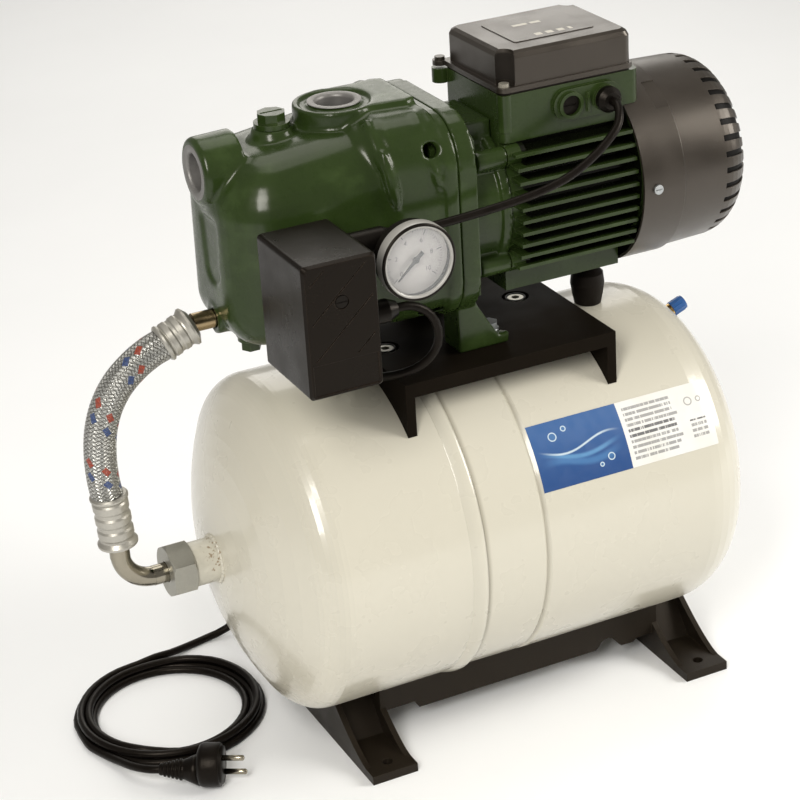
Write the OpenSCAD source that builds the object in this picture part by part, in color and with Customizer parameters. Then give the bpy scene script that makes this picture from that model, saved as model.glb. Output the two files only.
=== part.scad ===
/* [Pressure tank] */
// Outer radius of the tank's cylinder
tank_r = 143; // [125:1:155]
// Height of the tank's underside over the floor
tank_gap = 44; // [38:1:55]
// Thickness of the steel shells
shell_t = 1.6; // [1:0.1:2.5]
// Length of the straight part on the water side
water_end = 192; // [180:1:200]
// Length of the straight part on the air side
air_end = 138; // [130:1:150]
// Radius of the knuckle of the water side's dome
knuckle_w = 29; // [25:1:40]
// Radius of the knuckle of the air side's dome
knuckle_a = 46; // [35:1:55]
// Radius of the crown of the water side's dome
crown_w = 248; // [230:1:300]
// Radius of the crown of the air side's dome
crown_a = 350; // [280:1:380]
// Place of the overlap seam along the tank
seam_x = -76; // [-90:1:-60]
// Place of the clench groove along the tank
groove_x = -20; // [-30:1:-10]
// Radius of the welded water connection
conn_r = 18.5; // [17.5:0.5:22]

/* [Base] */
// Distance between foot holes along the tank
foot_pitch_x = 304; // [280:1:330]
// Distance between foot holes across the tank
foot_pitch_y = 186; // [170:1:200]
// Radius of a foot hole
foot_hole_r = 4.5; // [3:0.25:6]
// Width of a foot arm along the tank
arm_w = 41; // [36:1:48]
// How far a foot reaches beyond its hole
foot_reach = 15; // [12:1:22]
// Thickness of the foot's floor
foot_t = 8; // [5:0.5:10]
// Thickness of the gusset walls
gusset_t = 5; // [3:0.5:7]
// Distance of each rail from the centre line
rail_y = 50; // [42:1:58]
// Clearance between the tank and what cradles it
cradle_fit = 0.3; // [0.1:0.05:0.6]

/* [Platform] */
// Rise of the platform's top face over the tank
plat_over = 12.7; // [12:0.1:18]
// Left end of the platform
plat_x0 = -114; // [-120:1:-104]
// Right end of the platform
plat_x1 = 76; // [68:1:90]
// Half width of the platform
plat_y = 91.5; // [84:0.5:96]
// Thickness of the platform's plate
plat_t = 4.5; // [3:0.5:6]
// Depth of the platform's front and rear lip
lip_h = 12; // [8:1:16]
// Thickness of the saddle walls
saddle_t = 8; // [5:1:10]

/* [Pump body] */
// Height of the pump shaft over the platform
shaft_up = 108.3; // [106:0.1:112]
// Motor face of the pump body's flange
flange_x = -51; // [-54:1:-48]
// Half width of the flange
flange_y = 78; // [75:1:84]
// Rise of the flange above the shaft
flange_up = 91; // [88:1:95]
// Drop of the flange below the shaft
flange_down = 77; // [72:1:80]
// Corner radius of the flange
flange_r = 38; // [30:1:45]
// Thickness of the pump body's flange
body_flange_t = 11; // [8:0.5:14]
// Face of the suction port
suction_x = -237; // [-242:1:-234]
// Rise of the suction port's axis over the shaft
suction_up = 66; // [62:1:70]
// Place of the discharge port along the pump
discharge_x = -117; // [-122:1:-112]
// Rise of the discharge port's face over the shaft
discharge_up = 100.5; // [98:0.5:105]
// Radius of the two port bores
port_r = 15.15; // [13:0.05:16]
// Depth of the port threads
port_depth = 20; // [16:1:24]
// Radius of the pump chamber
chamber_r = 60; // [58:0.5:62]
// Half width of the pump body
body_y = 71; // [69:1:74]

/* [Bracket and motor] */
// Thickness of the bracket's flange
bracket_t = 15; // [12:1:18]
// Radius of the motor's body under the fins
motor_r = 61; // [60:0.5:64]
// Front end of the motor frame
motor_x0 = 2; // [0:0.5:6]
// Rear end of the motor frame
motor_x1 = 122; // [118:1:126]
// How far the fins reach to the side
fin_y = 74; // [70:1:76]
// Distance between neighbouring fins
fin_pitch = 10.4; // [9:0.1:11]
// Thickness of a fin
fin_t = 2.8; // [2:0.1:4]
// Half width of the terminal box
box_y = 49; // [46:1:52]
// Rise of the terminal box's rim over the shaft
box_up = 92; // [89:1:97]
// Height of the lid over the terminal box's rim
lid_h = 34; // [31:1:40]
// Wall of the terminal box
box_wall = 3.5; // [2.5:0.5:5]
// Radius of the shaft
shaft_r = 7; // [6:0.5:7.5]
// Outer radius of the bearings
bearing_r = 20; // [18:0.5:21]
// Running clearance round the turning pieces
run_fit = 0.4; // [0.3:0.05:0.8]

/* [Fan cover] */
// Radius of the fan cover's collar
cover_r = 80.5; // [78:0.5:82]
// Front rim of the fan cover
cover_x0 = 112; // [108:1:116]
// End of the collar
collar_x = 150; // [144:1:156]
// Rear face of the fan cover
cover_x1 = 220; // [214:1:224]
// Wall of the fan cover
cover_t = 2.4; // [1.8:0.1:3]
// Number of air slots round the shoulder
slots = 36; // [24:1:40]
// Width of an air slot
slot_w = 5; // [4:0.25:6]

/* [Pressure switch and gauge] */
// Width of the switch cover
sw_w = 59; // [54:1:64]
// Height of the switch cover
sw_h = 105; // [100:1:110]
// Left side of the switch cover
sw_x = -223; // [-226:1:-220]
// Drop of the switch cover's underside below the shaft
sw_down = 65; // [61:1:67]
// Front face of the switch cover
sw_front = -165; // [-168:1:-160]
// Rear face of the switch base
sw_back = -84; // [-86:1:-82]
// Wall of the switch cover
sw_wall = 2.4; // [1.8:0.1:3]
// Radius of the gauge case
gauge_r = 30.5; // [26:0.5:32]
// Place of the gauge along the pump
gauge_x = -113.5; // [-115:0.5:-111]
// Rise of the gauge's centre over the shaft
gauge_up = 8; // [5:0.5:9]
// Front face of the gauge
gauge_front = -130; // [-134:0.5:-128]
// Depth of the gauge case
gauge_d = 22; // [18:0.5:23]

/* [Hose and cords] */
// Radius of the braided hose
hose_r = 13; // [11:0.5:14]
// Radius of the ferrules
ferrule_r = 14.6; // [14:0.1:17]
// Radius of the elbow's tube
elbow_r = 8; // [7:0.5:9]
// Width across the flats of the union nut
nut_af = 41; // [38:0.5:44]
// Length of the union nut
nut_len = 20; // [18:1:22]
// Radius of the mains lead and the motor cable
cord_r = 3.5; // [3:0.1:3.5]
// Mean radius of the coiled lead
coil_r = 73.5; // [70:0.5:80]
// Radius of the plug's body
plug_r = 18.5; // [17:0.5:19.5]

/* [Hidden] */
$fn = 64;
fine = 32;
tank_z = tank_r + tank_gap;
plat_z = tank_z + tank_r + plat_over;
shaft_z = plat_z + shaft_up;
suction_z = shaft_z + suction_up;
discharge_z = shaft_z + discharge_up;
box_z = shaft_z + box_up;
lid_top = box_z + lid_h;
sw_z = shaft_z - sw_down;
gauge_z = shaft_z + gauge_up;
arm_x = foot_pitch_x / 2;
foot_y = foot_pitch_y / 2 + foot_reach;
flange_x0 = flange_x - body_flange_t;
bracket_x = flange_x + bracket_t;
box_x0 = 3;
box_x1 = 127;
rubber_foot_x = 103;
sw_x1 = sw_x + sw_w;
gauge_back = gauge_front + gauge_d;
bolt_y = flange_y - 22;
bolt_up = flange_up - 28;
bolt_down = flange_down - 19;
gland_len = 44;
gland_y = -96.5;
gland_z = sw_z + 85;
mains_gland_z = sw_z + 26;
gland_tip = sw_x1 + gland_len;
motor_gland = [93.5, -box_y, box_z - 17];
motor_gland_tip = -box_y - 15;
coil_c = [-279, 82];
coil_half = 10.4;
plug_turn = -31;
plug_from = [-327.4, -11.5];
conn_x = -274;
elbow_top = tank_z + 35;
ferrule_low = 48;
tail_z = shaft_z - 55;
thread_r = 16.62;
thread_len = 10;
nut_fit = 0.08;
spindle_fit = 0.05;

// Turns a profile drawn as [along, radius] about the X axis
module lathe(profile, z = 0, turns = 96) {
    translate([0, 0, z]) rotate([0, 90, 0]) rotate_extrude($fn = turns)
        polygon([for (p = profile) [p[1], p[0]]]);
}

// A round bar or hole along X
module along_x(x0, x1, r, y = 0, z = 0) {
    translate([x0, y, z]) rotate([0, 90, 0]) cylinder(h = x1 - x0, r = r);
}

// A round bar or hole along Y
module along_y(y0, y1, r, x = 0, z = 0) {
    translate([x, y0, z]) rotate([-90, 0, 0]) cylinder(h = y1 - y0, r = r);
}

// A ring along X
module ring_x(x0, x1, ro, ri, z = 0) {
    lathe([[x0, ri], [x1, ri], [x1, ro], [x0, ro]], z);
}

// Points of an arc, from one angle to another
function arc(c, r, a0, a1, n) = [for (i = [0:n]) c + r * [cos(a0 + (a1 - a0) * i / n),
                                                         sin(a0 + (a1 - a0) * i / n)]];

// A rectangle with round corners, lying in the YZ plane
module plate_yz(x0, x1, y, z0, z1, r) {
    translate([x0, 0, 0]) rotate([90, 0, 90]) linear_extrude(x1 - x0)
        round_rect(-y, y, z0, z1, r);
}

// A rectangle with round corners
module round_rect(x0, x1, y0, y1, r) {
    polygon(concat(arc([x1 - r, y1 - r], r, 0, 90, 8), arc([x0 + r, y1 - r], r, 90, 180, 8),
                   arc([x0 + r, y0 + r], r, 180, 270, 8), arc([x1 - r, y0 + r], r, 270, 360, 8)));
}

// A hexagon head or nut along X
module hex_x(x0, x1, af, y = 0, z = 0) {
    translate([x0, y, z]) rotate([0, 90, 0]) cylinder(h = x1 - x0, r = af / sqrt(3), $fn = 6);
}

function unit(v) = v / norm(v);
function tangent(p, i) = unit(p[min(i + 1, len(p) - 1)] - p[max(i - 1, 0)]);
function across(t, v) = unit(v - (v * t) * t);

// A point on the smooth curve through four points of a route
function between(a, b, c, d, t) =
    0.5 * (2 * b + (c - a) * t + (2 * a - 5 * b + 4 * c - d) * t * t
           + (3 * b - a - 3 * c + d) * t * t * t);

// A smooth route with n steps between each pair of its points
function smooth(p, n) = [for (i = [0:len(p) - 2]) for (k = [0:n - (i < len(p) - 2 ? 1 : 0)])
    between(p[max(i - 1, 0)], p[i], p[i + 1], p[min(i + 2, len(p) - 1)], k / n)];

// Side directions carried along a route without a twist
function carried(p, u, i) = i >= len(p) ? [] :
    let (w = across(tangent(p, i), u)) concat([w], carried(p, w, i + 1));

// A tube swept along a route
module sweep(p, r, sides, ref) {
    n = len(p);
    sides_u = carried(p, ref, 0);
    points = [for (i = [0:n - 1]) let (u = sides_u[i], v = cross(tangent(p, i), u))
        for (k = [0:sides - 1]) p[i] + r * (cos(360 * k / sides) * u + sin(360 * k / sides) * v)];
    walls = [for (i = [0:n - 2]) for (k = [0:sides - 1])
        [i * sides + k, (i + 1) * sides + k,
         (i + 1) * sides + (k + 1) % sides, i * sides + (k + 1) % sides]];
    first = [for (k = [0:sides - 1]) k];
    last = [for (k = [0:sides - 1]) (n - 1) * sides + sides - 1 - k];
    polyhedron(points, concat(walls, [first, last]), convexity = 6);
}

// Routes of the hose and the cords, chosen by hand
hose_low = elbow_top + ferrule_low;
hose_route = [[-277, 0, tail_z - 12], [-288, 0, tail_z - 16], [-302, 0, tail_z - 24],
              [-316, 0, tail_z - 36], [-327, 0, tail_z - 52], [-334, 0, hose_low + 55],
              [-337, 0, hose_low + 34], [-337, 0, hose_low + 13], [-335.5, 0, hose_low]];
motor_route = [[93.5, motor_gland_tip, motor_gland[2]], [93.5, -70, motor_gland[2] - 0.5],
               [91, -78, motor_gland[2] - 5], [84, -86, motor_gland[2] - 13],
               [70, -91, motor_gland[2] - 23], [54, -94, motor_gland[2] - 32],
               [36, -96, motor_gland[2] - 40], [16, -97, gland_z + 9.5], [-6, -97.5, gland_z + 6],
               [-30, -97.5, gland_z + 3.5], [-56, -97, gland_z + 1.6], [-82, -96.6, gland_z + 0.3],
               [gland_tip + 20, -96.5, gland_z], [gland_tip, -96.5, gland_z]];
// Down the front, over the tank by the platform's end, then close round the tank's rear
lead_front = [[gland_tip, -96.5, mains_gland_z], [gland_tip + 12, -97, mains_gland_z - 1],
              [-97, -98, mains_gland_z - 6], [-90, -99, mains_gland_z - 16],
              [-89, -99, plat_z + 41.3], [-94, -97, plat_z + 29.3], [-103, -92, plat_z + 19.3],
              [-113, -84, plat_z + 11.3], [-122, -72, plat_z + 4.3], [-128, -56, plat_z - 1.7],
              [-130, -38, plat_z - 5.7], [-130, -12, plat_z - 8.3], [-130, 10, plat_z - 8.3]];
// Each as the place along the tank, the angle from the top and the gap to the shell
lead_round = [[-131, 20, 5.3], [-133, 33, 4.6], [-136, 45, 4.5], [-139, 57, 4.7], [-142, 70, 5.2],
              [-146, 85, 7.8]];
lead_down = [[-150, 13, 158], [-154, 17, 115], [-158, 21, 72], [-163, 27, 40], [-170, 33, 17],
             [-183, 37, 5.2], [-203, 37, 4]];
lead_route = concat(lead_front,
    [for (p = lead_round) [p[0], (tank_r + p[2]) * sin(p[1]), tank_z + (tank_r + p[2]) * cos(p[1])]],
    [for (p = lead_down) [p[0], tank_r + p[1], p[2]]],
    [[-226, 174, 3.9], [-246, 166, 7.2], [-262, 161.5, 10.2], [-279, 158.9, 9.8]]);
tail_route = [[-352.5, 46, 5], [-348.5, 34, 6], [-345, 22, 7.5], [-341, 8, 10],
              [-334, -4.5, 12.5], [-324, -13.6, 14]];

function dome(r, knuckle, crown) =
    let (a = asin((r - knuckle) / (crown - knuckle)), cx = -(crown - knuckle) * cos(a))
    concat([for (p = arc([0, r - knuckle], knuckle, 90, 180 - a + 0, 7)) p],
           [for (i = [1:8]) let (b = a * (1 - i / 8)) [-crown * cos(b) - cx, crown * sin(b)]]);
function dome_height(knuckle, crown) =
    crown - sqrt(pow(crown - knuckle, 2) - pow(tank_r - knuckle, 2));
water_apex = water_end + dome_height(knuckle_w, crown_w);

// Outline of the front half, from its open end round to its apex
function front_half(grow) = concat(
    [[seam_x, 0], [seam_x, tank_r + 1.5 + grow]],
    [[seam_x - 5, tank_r + 1.5 + grow], [seam_x - 9, tank_r + grow]],
    [for (p = dome(tank_r + grow, knuckle_w + grow, crown_w + grow)) [p[0] - water_end, p[1]]]);

// Outline of the rear half with its clench groove
function rear_half(grow) = concat(
    [[seam_x, 0], [seam_x, tank_r - 1 + grow], [groove_x - 3, tank_r - 0.4 + grow],
     [groove_x, tank_r - 2 + grow], [groove_x + 3, tank_r + grow]],
    [for (p = dome(tank_r + grow, knuckle_a + grow, crown_a + grow)) [air_end - p[0], p[1]]]);

module tank_solid(grow) {
    lathe(front_half(grow), tank_z);
    lathe(rear_half(grow), tank_z);
}

module tank_front_shell() {
    color([0.85, 0.82, 0.72]) difference() {
        union() {
            lathe(front_half(0), tank_z);
            weld_boss(screw_spots[1], false);
        }
        weld_boss(screw_spots[1], true);
        lathe([for (p = front_half(-shell_t)) [p[0] + (p[0] == seam_x ? 1 : 0), p[1]]], tank_z);
        along_x(-water_apex - 5, -water_end, conn_r + 0.2, 0, tank_z);
    }
}

module tank_rear_shell() {
    color([0.85, 0.82, 0.72]) difference() {
        union() {
            lathe(rear_half(0), tank_z);
            weld_boss(screw_spots[0], false);
        }
        weld_boss(screw_spots[0], true);
        lathe([for (p = rear_half(-shell_t)) [p[0] - (p[0] == seam_x ? 1 : 0), p[1]]], tank_z);
        translate(valve_at) rotate([0, valve_tilt, 0]) cylinder(h = 60, r = 6.2, center = true);
    }
}

liner_t = 1.4;
module tank_water_liner() {
    color([0.9, 0.9, 0.88]) difference() {
        lathe(concat([[seam_x - 2, 0], [seam_x - 2, liner_r]],
                     [for (p = dome(liner_r, knuckle_w - 2.4, crown_w - 2.4))
                      [p[0] - water_end, p[1]]]), tank_z);
        lathe(concat([[seam_x, 0], [seam_x, liner_r - liner_t]],
                     [for (p = dome(liner_r - liner_t, knuckle_w - 3.8, crown_w - 3.8))
                      [p[0] - water_end, p[1]]]), tank_z);
        along_x(-water_apex - 5, -water_end, conn_r + 0.2, 0, tank_z);
    }
}
liner_r = tank_r - shell_t - 0.6;

// Rubber diaphragm, slack towards the water side
membrane_t = 2.5;
module tank_diaphragm() {
    r = tank_r - 1 - shell_t - 3.2;
    outer = concat([[seam_x + 34, r]], arc([seam_x + 20, r - 24], 24, 90, 160, 6),
                   arc([seam_x - 24, 40], 50, 130, 180, 4), [[seam_x - 74, 0]]);
    inner = concat([[seam_x - 74 + membrane_t, 0]],
                   arc([seam_x - 24, 40], 50 - membrane_t, 180, 130, 4),
                   arc([seam_x + 20, r - 24], 24 - membrane_t, 160, 90, 6),
                   [[seam_x + 34, r - membrane_t]]);
    color([0.12, 0.12, 0.12]) lathe(concat(outer, inner), tank_z);
}

module tank_clench_ring() {
    r = tank_r - 1 - shell_t - 0.3;
    color([0.6, 0.6, 0.6]) ring_x(seam_x + 36, groove_x - 4, r, r - 3.2, tank_z);
    color([0.6, 0.6, 0.6]) ring_x(seam_x + 22, seam_x + 34, r, r - 2.7, tank_z);
}

// Welded connection that the union nut screws on
module water_connection() {
    neck = -water_apex + 3;
    color([0.82, 0.79, 0.69]) difference() {
        union() {
            along_x(conn_x, neck + 6, conn_r, 0, tank_z);
            along_x(conn_x - thread_len, conn_x, thread_r, 0, tank_z);
        }
        along_x(conn_x - thread_len - 1, neck + 7, 12.5, 0, tank_z);
    }
}

valve_tilt = 69;
valve_at = [air_end + knuckle_a * sin(valve_tilt), 0,
            tank_z + tank_r - knuckle_a + knuckle_a * cos(valve_tilt)];
module air_valve() {
    color([0.75, 0.65, 0.4]) translate(valve_at) rotate([0, valve_tilt, 0]) difference() {
        union() {
            translate([0, 0, -8]) cylinder(h = 13, r = 6);
            cylinder(h = 14, r = 4);
        }
        translate([0, 0, 2]) cylinder(h = 13, r = 2.2);
    }
}

module air_valve_cap() {
    color([0.2, 0.42, 0.68]) translate(valve_at) rotate([0, valve_tilt, 0]) difference() {
        union() {
            translate([0, 0, 5.3]) cylinder(h = 12.7, r = 6.2);
            for (a = [0:30:330]) rotate(a) translate([6.1, 0, 5.3]) cylinder(h = 11, r = 0.6);
        }
        translate([0, 0, 5]) cylinder(h = 9.5, r = 4.3);
    }
}

// Side view of a foot: slopes from the tank down to the ear
toe = foot_reach - 1;
gusset_rise = 36;
function foot_slope(y_out) = concat(
    [[0, 0], [y_out, 0], [y_out, foot_t]],
    [for (i = [0:8]) let (t = i / 8)
     [y_out - toe - (y_out - 46) * t, foot_t + gusset_rise * pow(t, 1.4)]],
    [[14, foot_t + 64], [0, foot_t + 64]]);

module foot_half(s) {
    w = arm_w / 2;
    for (e = [-w, w - gusset_t]) translate([s * arm_x + e, 0, 0]) rotate([90, 0, 90])
        linear_extrude(gusset_t) polygon(foot_slope(foot_y));
    translate([s * arm_x - w, 0, 0]) cube([arm_w, foot_y, foot_t]);
    // inclined wall between the gussets
    translate([s * arm_x - w + 1, 0, 0]) rotate([90, 0, 90]) linear_extrude(arm_w - 2)
        polygon([[foot_y - 68, foot_t - 1], [foot_y - 55, foot_t - 1], [foot_y - 88, 48],
                 [foot_y - 98, 48]]);
    // web across the arm under the tank
    translate([s * arm_x - w + 1, 0, 0]) cube([arm_w - 2, 6, 60]);
}

rail_t = 9;
module base_cradle() {
    color([0.16, 0.14, 0.12]) difference() {
        union() {
            for (s = [-1, 1]) for (m = [0, 1]) mirror([0, m, 0]) foot_half(s);
            for (m = [0, 1]) mirror([0, m, 0]) rail();
        }
        tank_solid(cradle_fit);
        for (x = [-1, 1]) for (y = [-1, 1]) translate([x * arm_x, y * foot_pitch_y / 2, -1])
            cylinder(h = foot_t + 2, r = foot_hole_r);
    }
}

// Long rail with its notch near one foot and the arch near the other
module rail() {
    inner = arm_x - arm_w / 2 + gusset_t;
    translate([0, -rail_y + rail_t, 0]) rotate([90, 0, 0]) linear_extrude(rail_t)
        polygon(concat([[-inner, 27], [-104, 27], [-100, 20], [74, 20]],
                       arc([86, 20], 9, 160, 30, 5), [[97, 20], [100, 17], [112, 17], [116, 20],
                       [inner, 20], [inner, 66], [-inner, 66]]));
}

screw_spots = [[43, 16.8], [-95, -16.8]];
sink = 4.2;
module pump_platform() {
    lx = plat_x1 - plat_x0;
    color([0.17, 0.15, 0.13]) difference() {
        union() {
            translate([plat_x0, -plat_y, plat_z - plat_t]) cube([lx, 2 * plat_y, plat_t]);
            for (s = [-1, 1]) translate([plat_x0, s > 0 ? plat_y - 4 : -plat_y, plat_z - lip_h])
                cube([lx, 4, lip_h]);
            for (x = [plat_x0, plat_x1 - saddle_t]) translate([x, -plat_y, plat_z - 62])
                cube([saddle_t, 2 * plat_y, 60]);
            for (p = screw_spots) translate([p[0], p[1], plat_z - 14]) cylinder(h = 13, r = 16);
        }
        tank_solid(cradle_fit);
        for (p = screw_spots) translate([p[0], p[1], plat_z - sink]) cylinder(h = 9, r = 11.5);
        for (p = screw_spots) translate([p[0], p[1], plat_z - 30]) cylinder(h = 40, r = 7.8);
        for (s = [-1, 1]) translate([foot_bolt_x, s * foot_bolt_y, plat_z - 20])
            cylinder(h = 30, r = 4.3);
    }
}

screw_r = 3.9;
module platform_screws() {
    color([0.72, 0.72, 0.7]) for (p = screw_spots) translate([p[0], p[1], 0]) difference() {
        union() {
            translate([0, 0, plat_z - sink]) cylinder(h = 3.6, r = 9);
            translate([0, 0, plat_z - sink - 6]) cylinder(h = 6.1, r = screw_r);
        }
        translate([0, 0, plat_z - sink + 1.2]) cylinder(h = 4, r = 3.6, $fn = 6);
    }
}

// Threaded boss welded on the tank under a platform screw
module weld_boss(p, hole) {
    if (hole) translate([p[0], p[1], plat_z - sink - 8]) cylinder(h = 12, r = screw_r + 0.1);
    else translate([p[0], p[1], tank_z + tank_r - 25]) cylinder(h = plat_z - sink - 0.3 - tank_z
                                                                - tank_r + 25, r = 7.5);
}

ball = 40;
end_ball = 48;
low_ball = 32;
body_x0 = suction_x + 5;
body_lo = shaft_z - flange_down + 3;
body_hi = discharge_z - 7;
module barrel() {
    hull() {
        for (y = [-1, 1]) {
            translate([body_x0 + end_ball, y * (body_y - 4 - end_ball), body_hi - 13 - end_ball])
                sphere(r = end_ball, $fn = fine);
            translate([body_x0 + low_ball, y * (body_y - 14 - low_ball), body_lo + low_ball])
                sphere(r = low_ball, $fn = fine);
        }
        for (y = [-1, 1]) for (z = [body_lo + ball, body_hi - ball])
            translate([flange_x0 - 1, y * (body_y - ball), z]) rotate([0, 90, 0])
                cylinder(h = 2, r = ball, $fn = fine);
    }
    // wider chamber that flares to the flange
    hull() {
        plate_yz(discharge_x - 6, discharge_x - 5, body_y - 9, body_lo + 6, body_hi - 4, 34);
        plate_yz(discharge_x + 14, discharge_x + 15, body_y + 2.5, body_lo - 1, body_hi + 2, 36);
        plate_yz(flange_x0 - 1, flange_x0 + 1, flange_y - 2.5, shaft_z - flange_down + 2,
                 shaft_z + flange_up + 4, flange_r);
    }
}

plug_x = -170;
plug_z = body_hi - 7.5;
drain_x = -203;
gauge_stem_z = gauge_z - 16;
nipple_x = -180;
nipple_z = shaft_z - 23;
venturi_r = 11;
module pump_body() {
    color([0.16, 0.24, 0.14]) difference() {
        union() {
            barrel();
            plate_yz(flange_x0, flange_x, flange_y, shaft_z - flange_down, shaft_z + flange_up,
                     flange_r);
            // suction boss
            lathe([[suction_x, 0], [suction_x, 25], [suction_x + 3, 27], [suction_x + 34, 28],
                   [suction_x + 34, 0]], suction_z);
            // discharge boss and the flat ridge behind it
            translate([discharge_x, 0, shaft_z + 49]) cylinder(h = discharge_up - 49, r = 33);
            translate([0, 0, discharge_z - 20]) linear_extrude(20)
                polygon([[discharge_x, -27], [flange_x0 - 8, -33], [flange_x0, -29],
                         [flange_x0, 29], [flange_x0 - 8, 33], [discharge_x, 27]]);
            translate([plug_x, 0, plug_z - 14]) cylinder(h = 18, r1 = 22, r2 = 15.5);
            translate([drain_x, 0, body_lo - 3]) cylinder(h = 20, r = 12);
            along_x(body_x0 - 1, body_x0 + 20, 13, 0, tail_z);
            along_y(-body_y - 4, -body_y + 16, 12, gauge_x, gauge_stem_z);
            along_y(-body_y - 4, -body_y + 16, 12, nipple_x, nipple_z);
            // small pad and rib cast on the end face
            for (y = [-22, -34]) along_x(body_x0 + 4, body_x0 + 24, 5, y, tail_z + 8);
        }
        // recess of the end face
        translate([body_x0 - 1, 0, 0]) rotate([90, 0, 90]) linear_extrude(3.4)
            polygon(concat(arc([-6, shaft_z - 11], 14, 200, 340, 6),
                           arc([4, shaft_z + 25], 7, 20, 90, 3),
                           arc([-16, shaft_z + 25], 7, 90, 160, 3)));
        // port threads and the passages behind them
        along_x(suction_x - 1, suction_x + port_depth, port_r, 0, suction_z);
        lathe([[suction_x - 1, 0], [suction_x - 1, port_r + 2.6], [suction_x + 1.6, port_r],
               [suction_x + 1.6, 0]], suction_z);
        along_x(suction_x + 10, suction_x + 34, 12.5, 0, suction_z);
        translate([suction_x + 32, 0, shaft_z]) cylinder(h = suction_z - shaft_z, r = 12.5);
        translate([discharge_x, 0, discharge_z - port_depth]) cylinder(h = 40, r = port_r);
        translate([discharge_x, 0, shaft_z + 30]) cylinder(h = 80, r = 12.5);
        // sunk seat round the discharge port
        translate([discharge_x, 0, discharge_z - 3.5]) difference() {
            cylinder(h = 5, r = 28.5);
            translate([0, 0, -1]) cylinder(h = 3.7, r = 21.5);
        }
        translate([plug_x, 0, shaft_z + 20]) cylinder(h = 120, r = 9);
        translate([drain_x, 0, body_lo - 8]) cylinder(h = 60, r = 6.8);
        along_x(body_x0 - 3, -180, 7.3, 0, tail_z);
        along_y(-body_y - 6, -30, 6.9, gauge_x, gauge_stem_z);
        along_y(-body_y - 6, -30, 6.9, nipple_x, nipple_z);
        // chambers: suction side, ejector and impeller side
        along_x(-219, -192, 30, 0, shaft_z);
        along_x(-193, -160, venturi_r + 0.4, 0, shaft_z);
        along_x(-184, -109, 44, 0, shaft_z);
        translate([drain_x, 0, body_lo + 10]) cylinder(h = 30, r = 14);
        along_x(-110, flange_x + 1, chamber_r, 0, shaft_z);
        bolt_spots(-200, 20, 4.4);
        bolt_pockets();
    }
}

// Four spots of the flange bolts
module bolt_spots(x0, x1, r) {
    for (y = [-1, 1]) for (z = [shaft_z + bolt_up, shaft_z - bolt_down])
        along_x(max(x0, flange_x0 - 30), x1, r, y * bolt_y, z);
}

// Pockets that the bolt heads sit in
module bolt_pockets() {
    for (y = [-1, 1]) for (z = [shaft_z + bolt_up, shaft_z - bolt_down])
        along_x(flange_x0 - 24, flange_x0, 9.5, y * bolt_y, z);
}

module flange_gasket() {
    color([0.1, 0.1, 0.1]) ring_x(flange_x - 9.5, flange_x - 6.8, chamber_r - 0.3, chamber_r - 3.3,
                                  shaft_z);
}

ej_x0 = -214;
module ejector_nozzle() {
    color([0.86, 0.84, 0.78]) {
        lathe([[ej_x0, 5.5], [ej_x0 + 6, 5.5], [ej_x0 + 20, 3.2], [ej_x0 + 26, 3.2],
               [ej_x0 + 26, 5], [ej_x0 + 20, 6], [ej_x0 + 8, 9], [ej_x0 + 8, 13], [ej_x0, 13]],
              shaft_z, 48);
        // three arms that stand on the venturi's mouth
        for (a = [0:120:240]) translate([0, 0, shaft_z]) rotate([a, 0, 0])
            translate([ej_x0 + 7.5, -1.5, 8.6]) cube([-193.3 - ej_x0 - 7.5, 3, 2.3]);
    }
}

module ejector_venturi() {
    color([0.12, 0.12, 0.12]) lathe(venturi_profile, shaft_z, 48);
}
venturi_profile = [[-193, 8.2], [-180, 5.2], [-172, 5.2], [-118, 9], [-109.4, 9], [-109.4, 14],
                   [-114, 14], [-114, 11], [-193, 11]];

dif_r = chamber_r - 0.5;
module diffuser() {
    color([0.85, 0.83, 0.76]) difference() {
        lathe([[-109, 14.4], [-109, 20], [-104, 20], [-104, dif_r], [-66, dif_r],
               [-66, dif_r - 2.6], [-100, dif_r - 2.6], [-100, 14.4]], shaft_z);
        for (a = [0:45:315]) translate([0, 0, shaft_z]) rotate([a, 0, 0])
            translate([-105, 34, -3]) cube([6, 14, 6]);
    }
}

imp_r = 54;
module impeller() {
    color([0.7, 0.62, 0.4]) difference() {
        union() {
            ring_x(-97, -94, imp_r, 15, shaft_z);
            ring_x(-78, -74, imp_r, shaft_r + 0.05, shaft_z);
            ring_x(-90, -72, 12, shaft_r + 0.05, shaft_z);
            for (a = [0:60:300]) translate([0, 0, shaft_z]) rotate([a, 0, 0]) blade(-94, -78);
        }
        ring_x(-92, -79, 16, 12.01, shaft_z);
        along_x(-98, -90.2, 13, 0, shaft_z);
    }
}

// Curved impeller blade
module blade(x0, x1) {
    translate([x0, 0, 0]) rotate([90, 0, 90]) linear_extrude(x1 - x0)
        polygon(concat(arc([8, 34], 28, 208, 310, 6), arc([8, 34], 25.4, 310, 208, 6)));
}

module impeller_nut() {
    color([0.75, 0.72, 0.6]) difference() {
        hex_x(-101.5, -90.4, 17, 0, shaft_z);
        along_x(-103, -89, 5.1, 0, shaft_z);
    }
}

module seal_stationary() {
    color([0.8, 0.8, 0.78]) ring_x(-57, -51.5, 19.6, 10, shaft_z);
}

module seal_rotating() {
    color([0.25, 0.25, 0.25]) lathe([[-71.6, shaft_r + 0.05], [-57.2, shaft_r + 0.05],
        [-57.2, 12.5], [-61, 12.5], [-61, 15.5], [-71.6, 15.5]], shaft_z);
}

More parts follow.
